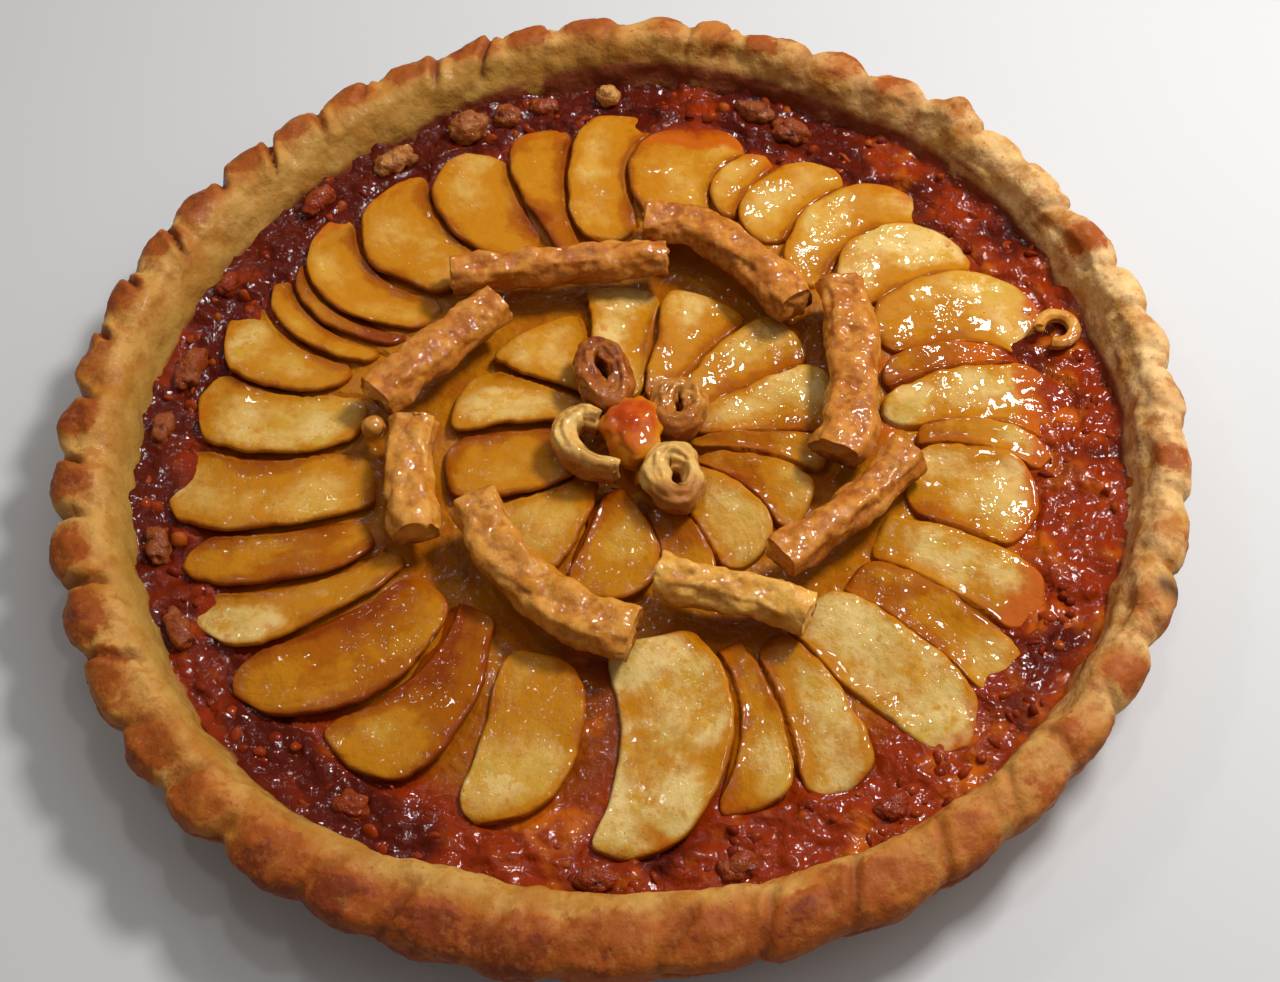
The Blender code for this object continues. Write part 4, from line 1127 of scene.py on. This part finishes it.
# %% Fill in the jam
rows = len(share)
skirt_radius = wall_radii - 0.2
skirt = np.stack([skirt_radius * np.cos(wall_angles), skirt_radius * np.sin(wall_angles),
                  np.full(JAM_COLUMNS, 6.0)], axis=1)
points = np.vstack([np.stack([x, y, height], axis=1), skirt, [[0.0, 0.0, height[0]], [0.0, 0.0, 6.0]]])
middle, bottom = (rows + 1) * JAM_COLUMNS, (rows + 1) * JAM_COLUMNS + 1
faces = net_faces(rows + 1, JAM_COLUMNS) + cap_faces(0, JAM_COLUMNS, middle)
faces += cap_faces(rows * JAM_COLUMNS, JAM_COLUMNS, bottom)


# Partly the syrup's own colour, partly painted shade of the bars: darker at the front and under the bars.
dark_syrup_and_shade = swell(grid_angle, 268.0, 24.0) * ramp(grid_radius + 4.0 * bumps(flat, 9.0, 91), 52.0, 66.0)
bar_ring = ramp(grid_radius, 46.0, 53.0) * ramp(-grid_radius, -74.0, -63.0)
dark_syrup_and_shade = np.maximum(dark_syrup_and_shade, 0.25 * bar_ring * ramp(rough(flat, 14.0, 2, 92), -0.7, 0.2))


def with_ends(numbers, extra):
    return np.concatenate([numbers, np.zeros(extra)])


extra = JAM_COLUMNS + 2
jam_piece = add_piece("jam_filling", points, faces, jam.material, {
    "rim": with_ends(ramp(grid_radius + 5.0 * bumps(flat, 9.0, 88), 88.0, 104.0), extra),
    # Painted light: more orange towards the front right.
    "thin_and_lit": with_ends(0.5 * chunk + 0.45 * rough(flat, 22.0, 3, 85) + 0.3 * np.cos(grid_angle + 0.6), extra),
    "depth": with_ends(jam_depth_and_shade, extra),
    "dark_syrup_and_shade": with_ends(dark_syrup_and_shade, extra),
})
settle(jam_piece, "jam", "jam")
print("jam:", triangles(jam_piece), "triangles")

# %% [markdown]
# The bars and petals are strips of pastry that were laid on the fruit. A strip is one section carried along
# a path. Baked pastry is rough like bark, with ridges along the strip, so each point moves in or out by a
# pattern that is stretched along the path. At a cut end the section shrinks in a few uneven rings.

# %% Carrying a section along a path
def smooth_line(points, steps):
    """Points on a smooth curve through flat points."""
    spots = with_run_out(points)
    spans = len(spots) - 3
    found = []
    for k in range(steps + 1):
        at = min(spans * k / steps, spans - 1e-6)
        found.append(curve_point(*spots[int(at):int(at) + 4], at - int(at)))
    return np.array(found)


def smooth_loop(points, steps):
    """Points round a closed smooth curve."""
    spots = np.asarray(points, float)
    count = len(spots)
    found = []
    for k in range(steps):
        at = count * k / steps
        near = [spots[(int(at) + shift) % count] for shift in (-1, 0, 1, 2)]
        found.append(curve_point(*near, at - int(at)))
    return np.array(found)


END_RINGS = (0.93, 0.72, 0.42, 0.14)
# the bark-like pattern: how wide it is round the section and how far it is stretched along the strip
BARK_ROUND, BARK_STRETCH, BARK_SIZE, BARK_LOOP = 3.2, 4.5, 1.6, 2.5


def strip_mesh(path, closed, loop, widths, base, height, ridge, grain, seed):
    """Carry a loop of (sideways, up) shares along a flat path and roughen it.

    Returns the points, the faces and three values for the finish: how deep a point lies in a hollow, how far
    up the strip it is, and whether it is on a cut end. The pastry finish paints shade by the first two.
    """
    path = np.asarray(path, float)
    if closed:
        ahead = np.roll(path, -1, axis=0) - np.roll(path, 1, axis=0)
    else:
        ahead = np.gradient(path, axis=0)
    ahead /= np.linalg.norm(ahead, axis=1, keepdims=True)
    side = np.stack([-ahead[:, 1], ahead[:, 0]], axis=1)
    travelled = np.concatenate([[0.0], np.cumsum(np.linalg.norm(np.diff(path, axis=0), axis=1))])
    count, size = len(path), len(loop)
    centre = loop.mean(axis=0)
    stations = [(k, 1.0) for k in range(count)]
    if not closed:
        stations = [(0, share) for share in reversed(END_RINGS)] + stations
        stations += [(count - 1, share) for share in END_RINGS]
    spots, values = [], []
    turns = np.linspace(0.0, math.tau, size, endpoint=False)
    for k, share in stations:
        s = travelled[k]
        turn_s = s / travelled[-1] * math.tau if closed else 0.0
        track = np.stack([np.cos(turns) * BARK_ROUND, np.sin(turns) * BARK_ROUND,
                          np.full(size, s / BARK_STRETCH)], axis=1)
        if closed:
            track[:, 0] += BARK_LOOP * math.cos(turn_s)
            track[:, 2] = BARK_LOOP * math.sin(turn_s)
        push = ridge * bumps(track, BARK_SIZE, seed) - 0.4 * ridge
        away = loop[:, 0] * widths[k]
        up = loop[:, 1] * height
        outward = np.stack([away - centre[0] * widths[k], up - centre[1] * height], axis=1)
        outward /= np.linalg.norm(outward, axis=1, keepdims=True)
        spot = np.stack([path[k, 0] + side[k, 0] * away, path[k, 1] + side[k, 1] * away, up], axis=1)
        push = push + grain * rough(spot, 3.2, 2, seed + 3)
        away = (away + outward[:, 0] * push) * share + centre[0] * widths[k] * (1.0 - share)
        up = (np.maximum(up + outward[:, 1] * push, 0.0)) * share + centre[1] * height * (1.0 - share)
        spot = np.stack([path[k, 0] + side[k, 0] * away, path[k, 1] + side[k, 1] * away, base + up], axis=1)
        if share < 1.0:
            jut = (1.4 * rough(spot, 3.4, 2, seed + 8) - 0.5 * share) * (1.0 if k else -1.0)
            spot[:, :2] += ahead[k] * jut[:, None]
        spots.append(spot)
        values.append(np.stack([np.clip(0.5 - push / (ridge + grain), 0.0, 1.0), up / height,
                                np.full(size, float(share < 0.9))], axis=1))
    points = np.vstack(spots)
    values = np.vstack(values)
    total = len(stations)
    if closed:
        index = np.arange(total * size).reshape(total, size)
        ahead_index = np.roll(index, -1, axis=0)
        faces = np.stack([index, np.roll(index, -1, axis=1), np.roll(ahead_index, -1, axis=1), ahead_index],
                         axis=-1).reshape(-1, 4).tolist()
    else:
        faces = net_faces(total, size) + cap_faces(0, size, total * size)
        faces += cap_faces((total - 1) * size, size, total * size + 1)
        points = np.vstack([points, points[:size].mean(axis=0), points[-size:].mean(axis=0)])
        values = np.vstack([values, values[0], values[-1]])
    return points, faces, {"hollow_shade": values[:, 0], "up": values[:, 1], "cut": values[:, 2]}


print("a strip's end has", len(END_RINGS), "rings")

# %% [markdown]
# The pastry is the same dough as the crust, but it is brushed with glaze: tan on its ridges and pale where it
# broke. It is darker in its hollows and low on its sides, which is painted shade. A thin wet coat lies on
# top.

# %% Finish of the pastry
BROWNING_AND_SHADE = (0.33, 0.088, 0.008)
# colour on the ridges, in the blotches and of the painted shade, and how high up the sides the shade reaches
PASTRIES = {
    "glazed_pastry": ((0.65, 0.290, 0.045), (0.51, 0.178, 0.014), (0.33, 0.080, 0.004), 0.45),
    "sienna_pastry": ((0.60, 0.235, 0.030), (0.43, 0.120, 0.009), (0.26, 0.050, 0.003), 0.45),
    "pale_pastry": ((0.72, 0.45, 0.13), (0.62, 0.33, 0.070), (0.38, 0.110, 0.011), 0.9),
    "brown_pastry": ((0.40, 0.115, 0.010), (0.22, 0.040, 0.003), (0.11, 0.016, 0.002), 0.45),
    "tan_pastry": ((0.56, 0.25, 0.038), (0.40, 0.125, 0.010), (0.20, 0.040, 0.003), 0.45),
    "light_pastry": ((0.76, 0.41, 0.085), (0.62, 0.27, 0.030), (0.40, 0.120, 0.007), 0.45),
}
pastry = {}
for name, (ridge_colour, blotch_colour, shade_colour, sides) in PASTRIES.items():
    dough = Finish(name, ridge_colour, Roughness=0.5, Specular_IOR_Level=0.1, Coat_Weight=1.0,
                   Coat_Roughness=0.03, Coat_IOR=1.4)
    dough.over(dough.blotches(4.5, 0.35, 0.65, 4.0, sharp=0.6), blotch_colour)
    # Painted shade: darker in the hollows and low on the sides.
    hollow_shade = dough.plus(dough.value("hollow_shade"), dough.times(dough.blotches(1.6, 0.3, 0.7), 0.3))
    dough.over(dough.between(hollow_shade, 0.95, 1.5), shade_colour)
    dough.over(dough.between(dough.value("up"), sides, 0.05), shade_colour)
    dough.over(dough.value("cut"), ridge_colour, 0.5)
    # Partly browning, partly painted shade on the side of a petal that faces the front.
    dough.over(dough.value("browned_and_shade"), BROWNING_AND_SHADE)
    dough.relief(dough.blotches(2.0, 0.3, 0.7, 2.0), 0.12, ("Normal",))
    dough.relief(dough.blotches(2.6, 0.25, 0.75, 1.0), 0.55, ("Coat Normal",))
    pastry[name] = dough.material
print("pastry finishes:", len(pastry))

# %% [markdown]
# Eight bars lie in a ring. Each one was rolled by hand, so it has its own path, its two ends differ in width
# and its width wavers. The paths were read off the picture with the camera above.

# %% The ring of bars
BAR_REST = 18.4
BAR_HEIGHT = 9.0
BARS = {
    "bar_back": (((-40, 51.6), (-12, 52.4), (17.5, 51.8)), 10, 10),
    "bar_back_right": (((13, 65), (25, 62.5), (35, 53), (44, 42), (49.6, 32)), 13.5, 12),
    "bar_right": (((62.5, 38), (62.5, 22), (60.5, 5), (57.5, -8), (53, -15.5)), 13, 14.5),
    "bar_front_right": (((71, -17), (61, -26.5), (49, -35.5), (36, -44)), 11, 11),
    "bar_front": (((7, -45), (20, -50), (31, -54), (41, -59.5)), 10.8, 10.8),
    "bar_front_left": (((-36, -20), (-31.5, -32), (-22, -46), (-10, -56), (0, -60.5)), 13, 13.5),
    "bar_left": (((-51, 5.5), (-52, -10), (-50.5, -28)), 12.5, 12.5),
    "bar_back_left": (((-28.2, 41.2), (-39, 32.5), (-51, 22), (-60, 13.6)), 12.5, 12.5),
}
BAR_SECTION = ((0.5, 0.25), (0.3, 0.0), (-0.3, 0.0), (-0.5, 0.25),
               (-0.47, 0.68), (-0.26, 0.97), (0.26, 1.0), (0.47, 0.7))
BAR_FINISHES = {"bar_front": "light_pastry", "bar_front_left": "glazed_pastry", "bar_left": "glazed_pastry"}
BAR_RIDGE, BAR_GRAIN = 0.95, 0.5
bar_loop = smooth_loop(BAR_SECTION, 72)
for number, (node, (spots, first, last)) in enumerate(BARS.items()):
    path = smooth_line(spots, 130)
    waver = 1.0 + 0.06 * wave(np.linspace(0.0, 5.0, len(path)), 60 + number, 1, 4)
    widths = np.linspace(first, last, len(path)) * waver
    points, faces, values = strip_mesh(path, False, bar_loop, widths, BAR_REST, BAR_HEIGHT, BAR_RIDGE,
                                       BAR_GRAIN, 900 + 20 * number)
    finish = pastry[BAR_FINISHES.get(node, "sienna_pastry")]
    bar = add_piece("pastry_" + node, points, faces, finish, values)
    settle(bar, "pastry", node)
print("bars:", len(BARS))

# %% [markdown]
# The flower is four small strips of dough, each bent to a loop and set on edge. Three are closed ovals and
# the left one is open, so its strip swells in the middle and thins to its ends. They are darker on the side
# that faces the front, partly browned and partly painted shade, and the finish reads that from a value on
# each point.

# %% The flower's petals
FLOWER_REST = 17.0
PETAL_HEIGHT = 8.0
PETAL_THICKNESS = 4.4
PLUMP = 2.4
OVAL_PETALS = {
    "petal_back": ((-2.0, 15.6), (5.2, 10.0), 10.0, "brown_pastry"),
    "petal_right": ((16.2, 3.4), (5.4, 6.8), -8.0, "tan_pastry"),
    "petal_front": ((13.4, -17.2), (5.6, 8.0), 14.0, "pale_pastry"),
}
LEFT_PETAL = ((-4.2, 1.6), (-8.5, 3.4), (-12.6, 0.2), (-12.0, -6.0), (-7.4, -11.2), (-1.0, -14.2))
PETAL_SECTION = ((0.36, 0.0), (-0.36, 0.0), (-0.5, 0.4), (-0.44, 0.8),
                 (-0.16, 1.0), (0.16, 1.0), (0.44, 0.8), (0.5, 0.4))
petal_loop = smooth_loop(PETAL_SECTION, 56)
for number, (node, (middle, sizes, turn, finish)) in enumerate(OVAL_PETALS.items()):
    round_angle = math.tau * np.arange(150) / 150
    turn = math.radians(turn)
    px, py = (sizes[0] - PLUMP / 2.0) * np.cos(round_angle), (sizes[1] - PLUMP / 2.0) * np.sin(round_angle)
    path = np.stack([middle[0] + px * math.cos(turn) - py * math.sin(turn),
                     middle[1] + px * math.sin(turn) + py * math.cos(turn)], axis=1)
    widths = (PETAL_THICKNESS + PLUMP) * (1.0 + 0.13 * wave(round_angle, 70 + number, 2, 6))
    points, faces, values = strip_mesh(path, True, petal_loop, widths, FLOWER_REST, PETAL_HEIGHT, 1.0, 0.4,
                                       700 + 20 * number)
    to_front = middle[1] - 0.35 * sizes[1] - points[:, 1]
    # Darker towards the front of each petal: partly browned, partly painted shade.
    values["browned_and_shade"] = 0.85 * ramp(to_front + bumps(points, 3.0, 60), -2.0, 3.5)
    petal = add_piece("pastry_" + node, points, faces, pastry[finish], values)
    settle(petal, "pastry", node)
path = smooth_line(LEFT_PETAL, 120)
swell_along = np.sin(math.pi * np.linspace(0.08, 0.92, len(path))) ** 0.6
widths = PETAL_THICKNESS * (0.6 + 0.95 * swell_along)
points, faces, values = strip_mesh(path, False, petal_loop, widths, FLOWER_REST, PETAL_HEIGHT, 0.6, 0.3, 777)
# The same for the left petal, towards its front left.
values["browned_and_shade"] = 0.5 * ramp(-points[:, 1] - 0.5 * points[:, 0] + bumps(points, 4.0, 61), 11.0, 17.0)
petal = add_piece("pastry_petal_left", points, faces, pastry["pale_pastry"], values)
settle(petal, "pastry", "petal_left")
print("petals:", len(OVAL_PETALS) + 1)

# %% [markdown]
# A drop of jam fills the flower. Its outline is turned from a profile, like a pot on a wheel, and then it
# sags: at the front left and at the right it ran out a little between the petals. Its top is smooth, so it
# shows the brightest glint of the whole tart. The curl by the rim is one thin round strip.

# %% The drop of jam and the curl
DROP_PLACE, DROP_SIZE, DROP_HEIGHT = (3.9, -1.3), (4.8, 5.8), 11.0
# share of the size and of the height, from the foot between the petals to the top of the cap
DROP_PROFILE = ((1.35, 0.0), (1.42, 0.2), (1.46, 0.42), (1.42, 0.57), (1.27, 0.69), (1.05, 0.79), (0.8, 0.86),
                (0.52, 0.905), (0.26, 0.925), (0.08, 0.93))
drop = Finish("jam_drop", (0.60, 0.22, 0.006), **{**WET, "Coat_IOR": 1.45})
drop.over(drop.between(drop.value("up"), 0.55, 0.85), (0.44, 0.045, 0.001))
drop.over(drop.blotches(4.0, 0.4, 0.7), (0.55, 0.12, 0.003))
drop.relief(drop.blotches(3.6, 0.2, 0.8, 1.0), 0.42, ("Coat Normal",))
drop_rows, drop_columns = smooth_rows(DROP_PROFILE, 5), 72
drop_rings = len(drop_rows) - 1
round_angle = np.tile(math.tau * np.arange(drop_columns) / drop_columns, drop_rings + 1)
spread, up = np.repeat(drop_rows, drop_columns, axis=0).T
points = np.stack([DROP_PLACE[0] + DROP_SIZE[0] * spread * np.cos(round_angle),
                   DROP_PLACE[1] + DROP_SIZE[1] * spread * np.sin(round_angle),
                   FLOWER_REST + DROP_HEIGHT * up], axis=1)
skirt = 0.42 * swell(round_angle, AT_FRONT - 20.0, 34.0) * ramp(-up, -0.75, -0.2)
skirt = skirt + 0.2 * swell(round_angle, AT_RIGHT + 15.0, 30.0)
sag = (skirt + 0.24 * rough(points, 4.6, 2, 95)) * (spread > 0.3)
swelled = 1.0 + sag[:, None] * np.array([1.0, 1.0, 0.0])
points[:, 2] += (0.5 * bumps(points, 3.0, 96) - 0.5) * ramp(up, 0.5, 0.7)
points = (points - (*DROP_PLACE, 0.0)) * swelled + (*DROP_PLACE, 0.0)
tip_index = len(points)
points = np.vstack([points, [(*DROP_PLACE, FLOWER_REST), (*DROP_PLACE, FLOWER_REST + 0.93 * DROP_HEIGHT)]])
faces = net_faces(drop_rings + 1, drop_columns) + cap_faces(0, drop_columns, tip_index)
faces += cap_faces(drop_rings * drop_columns, drop_columns, tip_index + 1)
drop_piece = add_piece("red_jam_drop", points, faces, drop.material,
                       {"up": np.concatenate([up, [0.0, 1.0]])})
settle(drop_piece, "jam", "jam_drop")

CURL_MIDDLE, CURL_BEND, CURL_THICKNESS, CURL_BASE = (116.6, 20.8), 4.6, 3.6, 15.2
bend = np.radians(np.linspace(-120.0, 170.0, 70))
path = np.array(CURL_MIDDLE) + CURL_BEND * np.stack([np.cos(bend), np.sin(bend)], axis=1)
circle = math.tau * np.arange(30) / 30
curl_loop = np.stack([0.5 * np.cos(circle), 0.5 + 0.5 * np.sin(circle)], axis=1)
points, faces, values = strip_mesh(path, False, curl_loop, np.full(len(path), CURL_THICKNESS), CURL_BASE,
                                   CURL_THICKNESS, 0.3, 0.25, 640)
curl = add_piece("browned_curl", points, faces, pastry["glazed_pastry"], values)
settle(curl, "pastry", "pastry_curl")
print("drop:", triangles(drop_piece), "triangles, curl:", triangles(curl))

# %% [markdown]
# Crumbs of crust, bits of nut and chunks of fruit lie in the jam near the rim. Each larger one is a round
# ball that is pushed out of shape by lumps. Its tone says whether it is red with jam or still brown. One
# little ball of pastry lies higher up, beside the left bar.

# %% Bits in the jam
# angle, radius, length along the ring, width across it, height, tone from red jam (0) to pale crumb (1)
BITS = (
    (163.0, 115.5, 15, 7, 6, 0.35), (172.7, 119.0, 10, 6, 6, 0.5), (190.0, 118.5, 12, 6, 7, 0.5),
    (202.4, 119.5, 12, 6, 5.5, 0.4), (234.5, 114.5, 9, 7, 5, 0.2), (149.3, 118.0, 8, 5, 5.5, 0.1),
    (131.4, 118.0, 12, 6, 6, 0.2), (118.8, 116.5, 14, 8, 7, 0.8), (107.4, 117.5, 12, 9, 9, 0.7),
    (101.6, 117.5, 8, 8, 6, 0.5), (96.2, 119.4, 9, 6, 6, 0.3), (87.0, 119.6, 7, 6, 7, 1.0),
    (66.3, 119.0, 11, 7, 8, 0.5), (60.4, 116.5, 12, 9, 8, 0.4), (263.6, 116.5, 9, 6, 5, 0.2),
    (279.0, 117.0, 9, 7, 5, 0.3), (297.0, 118.0, 9, 6, 5, 0.15),
)
bit = Finish("jam_bits", JAM_RED, **{**WET, "Coat_Weight": 0.9, "Coat_Roughness": 0.06, "Coat_IOR": 1.42})
bit_tone = bit.plus(bit.value("tone"), bit.times(bit.blotches(3.0, 0.3, 0.7), 0.25))
bit.over(bit.between(bit_tone, 0.15, 0.7), (0.27, 0.065, 0.012))
bit.over(bit.between(bit_tone, 0.75, 1.2), (0.58, 0.28, 0.07))
# Painted shade: darker in the hollows between the lumps.
bit.over(bit.between(bit.value("hollow_shade"), 0.5, 1.0), JAM_DARK)
bit.relief(bit.blotches(1.2, 0.3, 0.7), 0.3)

shape = bmesh.new()
bmesh.ops.create_icosphere(shape, subdivisions=4, radius=0.5)
ball_points = np.array([v.co for v in shape.verts])
ball_faces = [tuple(v.index for v in face.verts) for face in shape.faces]
shape.free()
points, faces, tones, hollow_shades = [], [], [], []
for number, (degrees, radius, length, width, tall, tone) in enumerate(BITS):
    theta = math.radians(degrees)
    radius = min(radius, float(inner_wall_radius(theta, 14.0)) - 0.56 * width - 1.0)
    cx, cy = radius * math.cos(theta), radius * math.sin(theta)
    nearest = np.argmin((x - cx) ** 2 + (y - cy) ** 2)
    blob = lumps(ball_points * (length, width, tall) + number * 31.0, 3.6, 500)
    grain = bumps(ball_points * (length, width, tall) + number * 31.0, 1.3, 520)
    boxy = np.sign(ball_points) * np.abs(2.0 * ball_points) ** 0.86 / 2.0
    local = boxy * (0.74 + 0.42 * blob + 0.06 * grain)[:, None] * (length, width, tall)
    spot_x = cx - math.sin(theta) * local[:, 0] + math.cos(theta) * local[:, 1]
    spot_y = cy + math.cos(theta) * local[:, 0] + math.sin(theta) * local[:, 1]
    spot_z = height[nearest] + 0.15 * tall + local[:, 2]
    faces += [tuple(k + number * len(ball_points) for k in face) for face in ball_faces]
    points.append(np.stack([spot_x, spot_y, spot_z], axis=1))
    tones.append(np.full(len(ball_points), tone))
    hollow_shades.append(1.0 - ramp(blob, 0.1, 0.5))
bits_piece = add_piece("jam_bits", np.vstack(points), faces, bit.material,
                       {"tone": np.concatenate(tones), "hollow_shade": np.concatenate(hollow_shades)})
settle(bits_piece, "jam")
BALL_PLACE, BALL_SIZE = (-61.0, 6.0, 20.6), 6.2
points = ball_points * BALL_SIZE
points = points * (0.94 + 0.12 * lumps(points, 3.0, 530))[:, None] + BALL_PLACE
ball_piece = add_piece("pastry_ball", points, ball_faces, pastry["tan_pastry"],
                       {"up": ball_points[:, 2] + 0.5})
settle(ball_piece, "pastry")
print("bits:", len(BITS), "with", triangles(bits_piece), "triangles")

# %% [markdown]
# Between the larger bits the jam is full of small chunks. There are far too many to place by hand, so a tree
# of nodes strews them: it drops points on the open jam, puts a small ball on each with its own size and turn,
# and dents the balls. The number, the size and the seed are inputs.

# %% Strew the chunks
chunks = Tree("strewn_chunks", **{"Density": "FLOAT", "Size": "FLOAT", "Dents": "FLOAT", "Seed": "INT",
                                  "Material": "MATERIAL"})
given = chunks.given.outputs
thinning = chunks.maths("MULTIPLY", given["Density"], chunks.point_value("open"))
points_on_jam = chunks.add("GeometryNodeDistributePointsOnFaces",
                           values={"Mesh": given["Geometry"], "Density": thinning, "Seed": given["Seed"]})
ball = chunks.add("GeometryNodeMeshIcoSphere", values={"Radius": given["Size"], "Subdivisions": 2})
turns = chunks.add("FunctionNodeRandomValue", data_type="FLOAT_VECTOR",
                   values={0: (0.0, 0.0, 0.0), 1: (math.tau, math.tau, math.tau), "Seed": 3})
sizes = chunks.add("FunctionNodeRandomValue", data_type="FLOAT_VECTOR",
                   values={0: (0.5, 0.5, 0.5), 1: (1.6, 1.3, 1.1), "Seed": 4})
placed = chunks.add("GeometryNodeInstanceOnPoints",
                    values={"Points": points_on_jam, "Instance": ball, "Rotation": turns, "Scale": sizes})
tones = chunks.add("FunctionNodeRandomValue", output=1, data_type="FLOAT", values={2: 0.0, 3: 1.0, "Seed": 5})
toned = chunks.add("GeometryNodeStoreNamedAttribute", data_type="FLOAT", domain="INSTANCE",
                   values={"Geometry": placed, "Name": "tone", "Value": tones})
real = chunks.add("GeometryNodeRealizeInstances", values={0: toned})
dents = chunks.add("ShaderNodeTexNoise", values={"Scale": 1.0 / (1.4 * MM), "Detail": 1.0})
dent = chunks.maths("MULTIPLY", chunks.maths("SUBTRACT", dents, 0.5), given["Dents"])
push = chunks.vector("SCALE", chunks.add("GeometryNodeInputNormal"), scale=dent)
dented = chunks.add("GeometryNodeSetPosition", values={"Geometry": real, "Offset": push})
chunks.finish(dented, given["Material"])

chunk_finish = Finish("jam_chunks", (0.17, 0.014, 0.002), **WET)
chunk_finish.over(chunk_finish.between(chunk_finish.value("tone"), 0.1, 0.6), (0.26, 0.030, 0.002))
chunk_finish.over(chunk_finish.between(chunk_finish.value("tone"), 0.8, 1.1), (0.40, 0.085, 0.004))

SUNK = 1.0
open_jam = near_rim * ramp(height - tops, 0.3, 1.3) * ramp(to_wall, 1.0, 3.0)
open_jam = open_jam * ramp(rough(flat, 14.0, 2, 97), -0.7, 0.5)
ground = np.stack([x, y, height - SUNK], axis=1)
chunk_piece = add_piece("strewn_chunks", ground, net_faces(rows, JAM_COLUMNS), chunk_finish.material,
                        {"open": open_jam})
run_tree(chunk_piece, chunks.group, Density=3.4e4, Size=1.8 * MM, Dents=1.9 * MM, Seed=11,
         Material=chunk_finish.material)
chunk_piece.data.shade_smooth()
settle(chunk_piece, "jam")
print("chunks:", triangles(chunk_piece), "triangles")
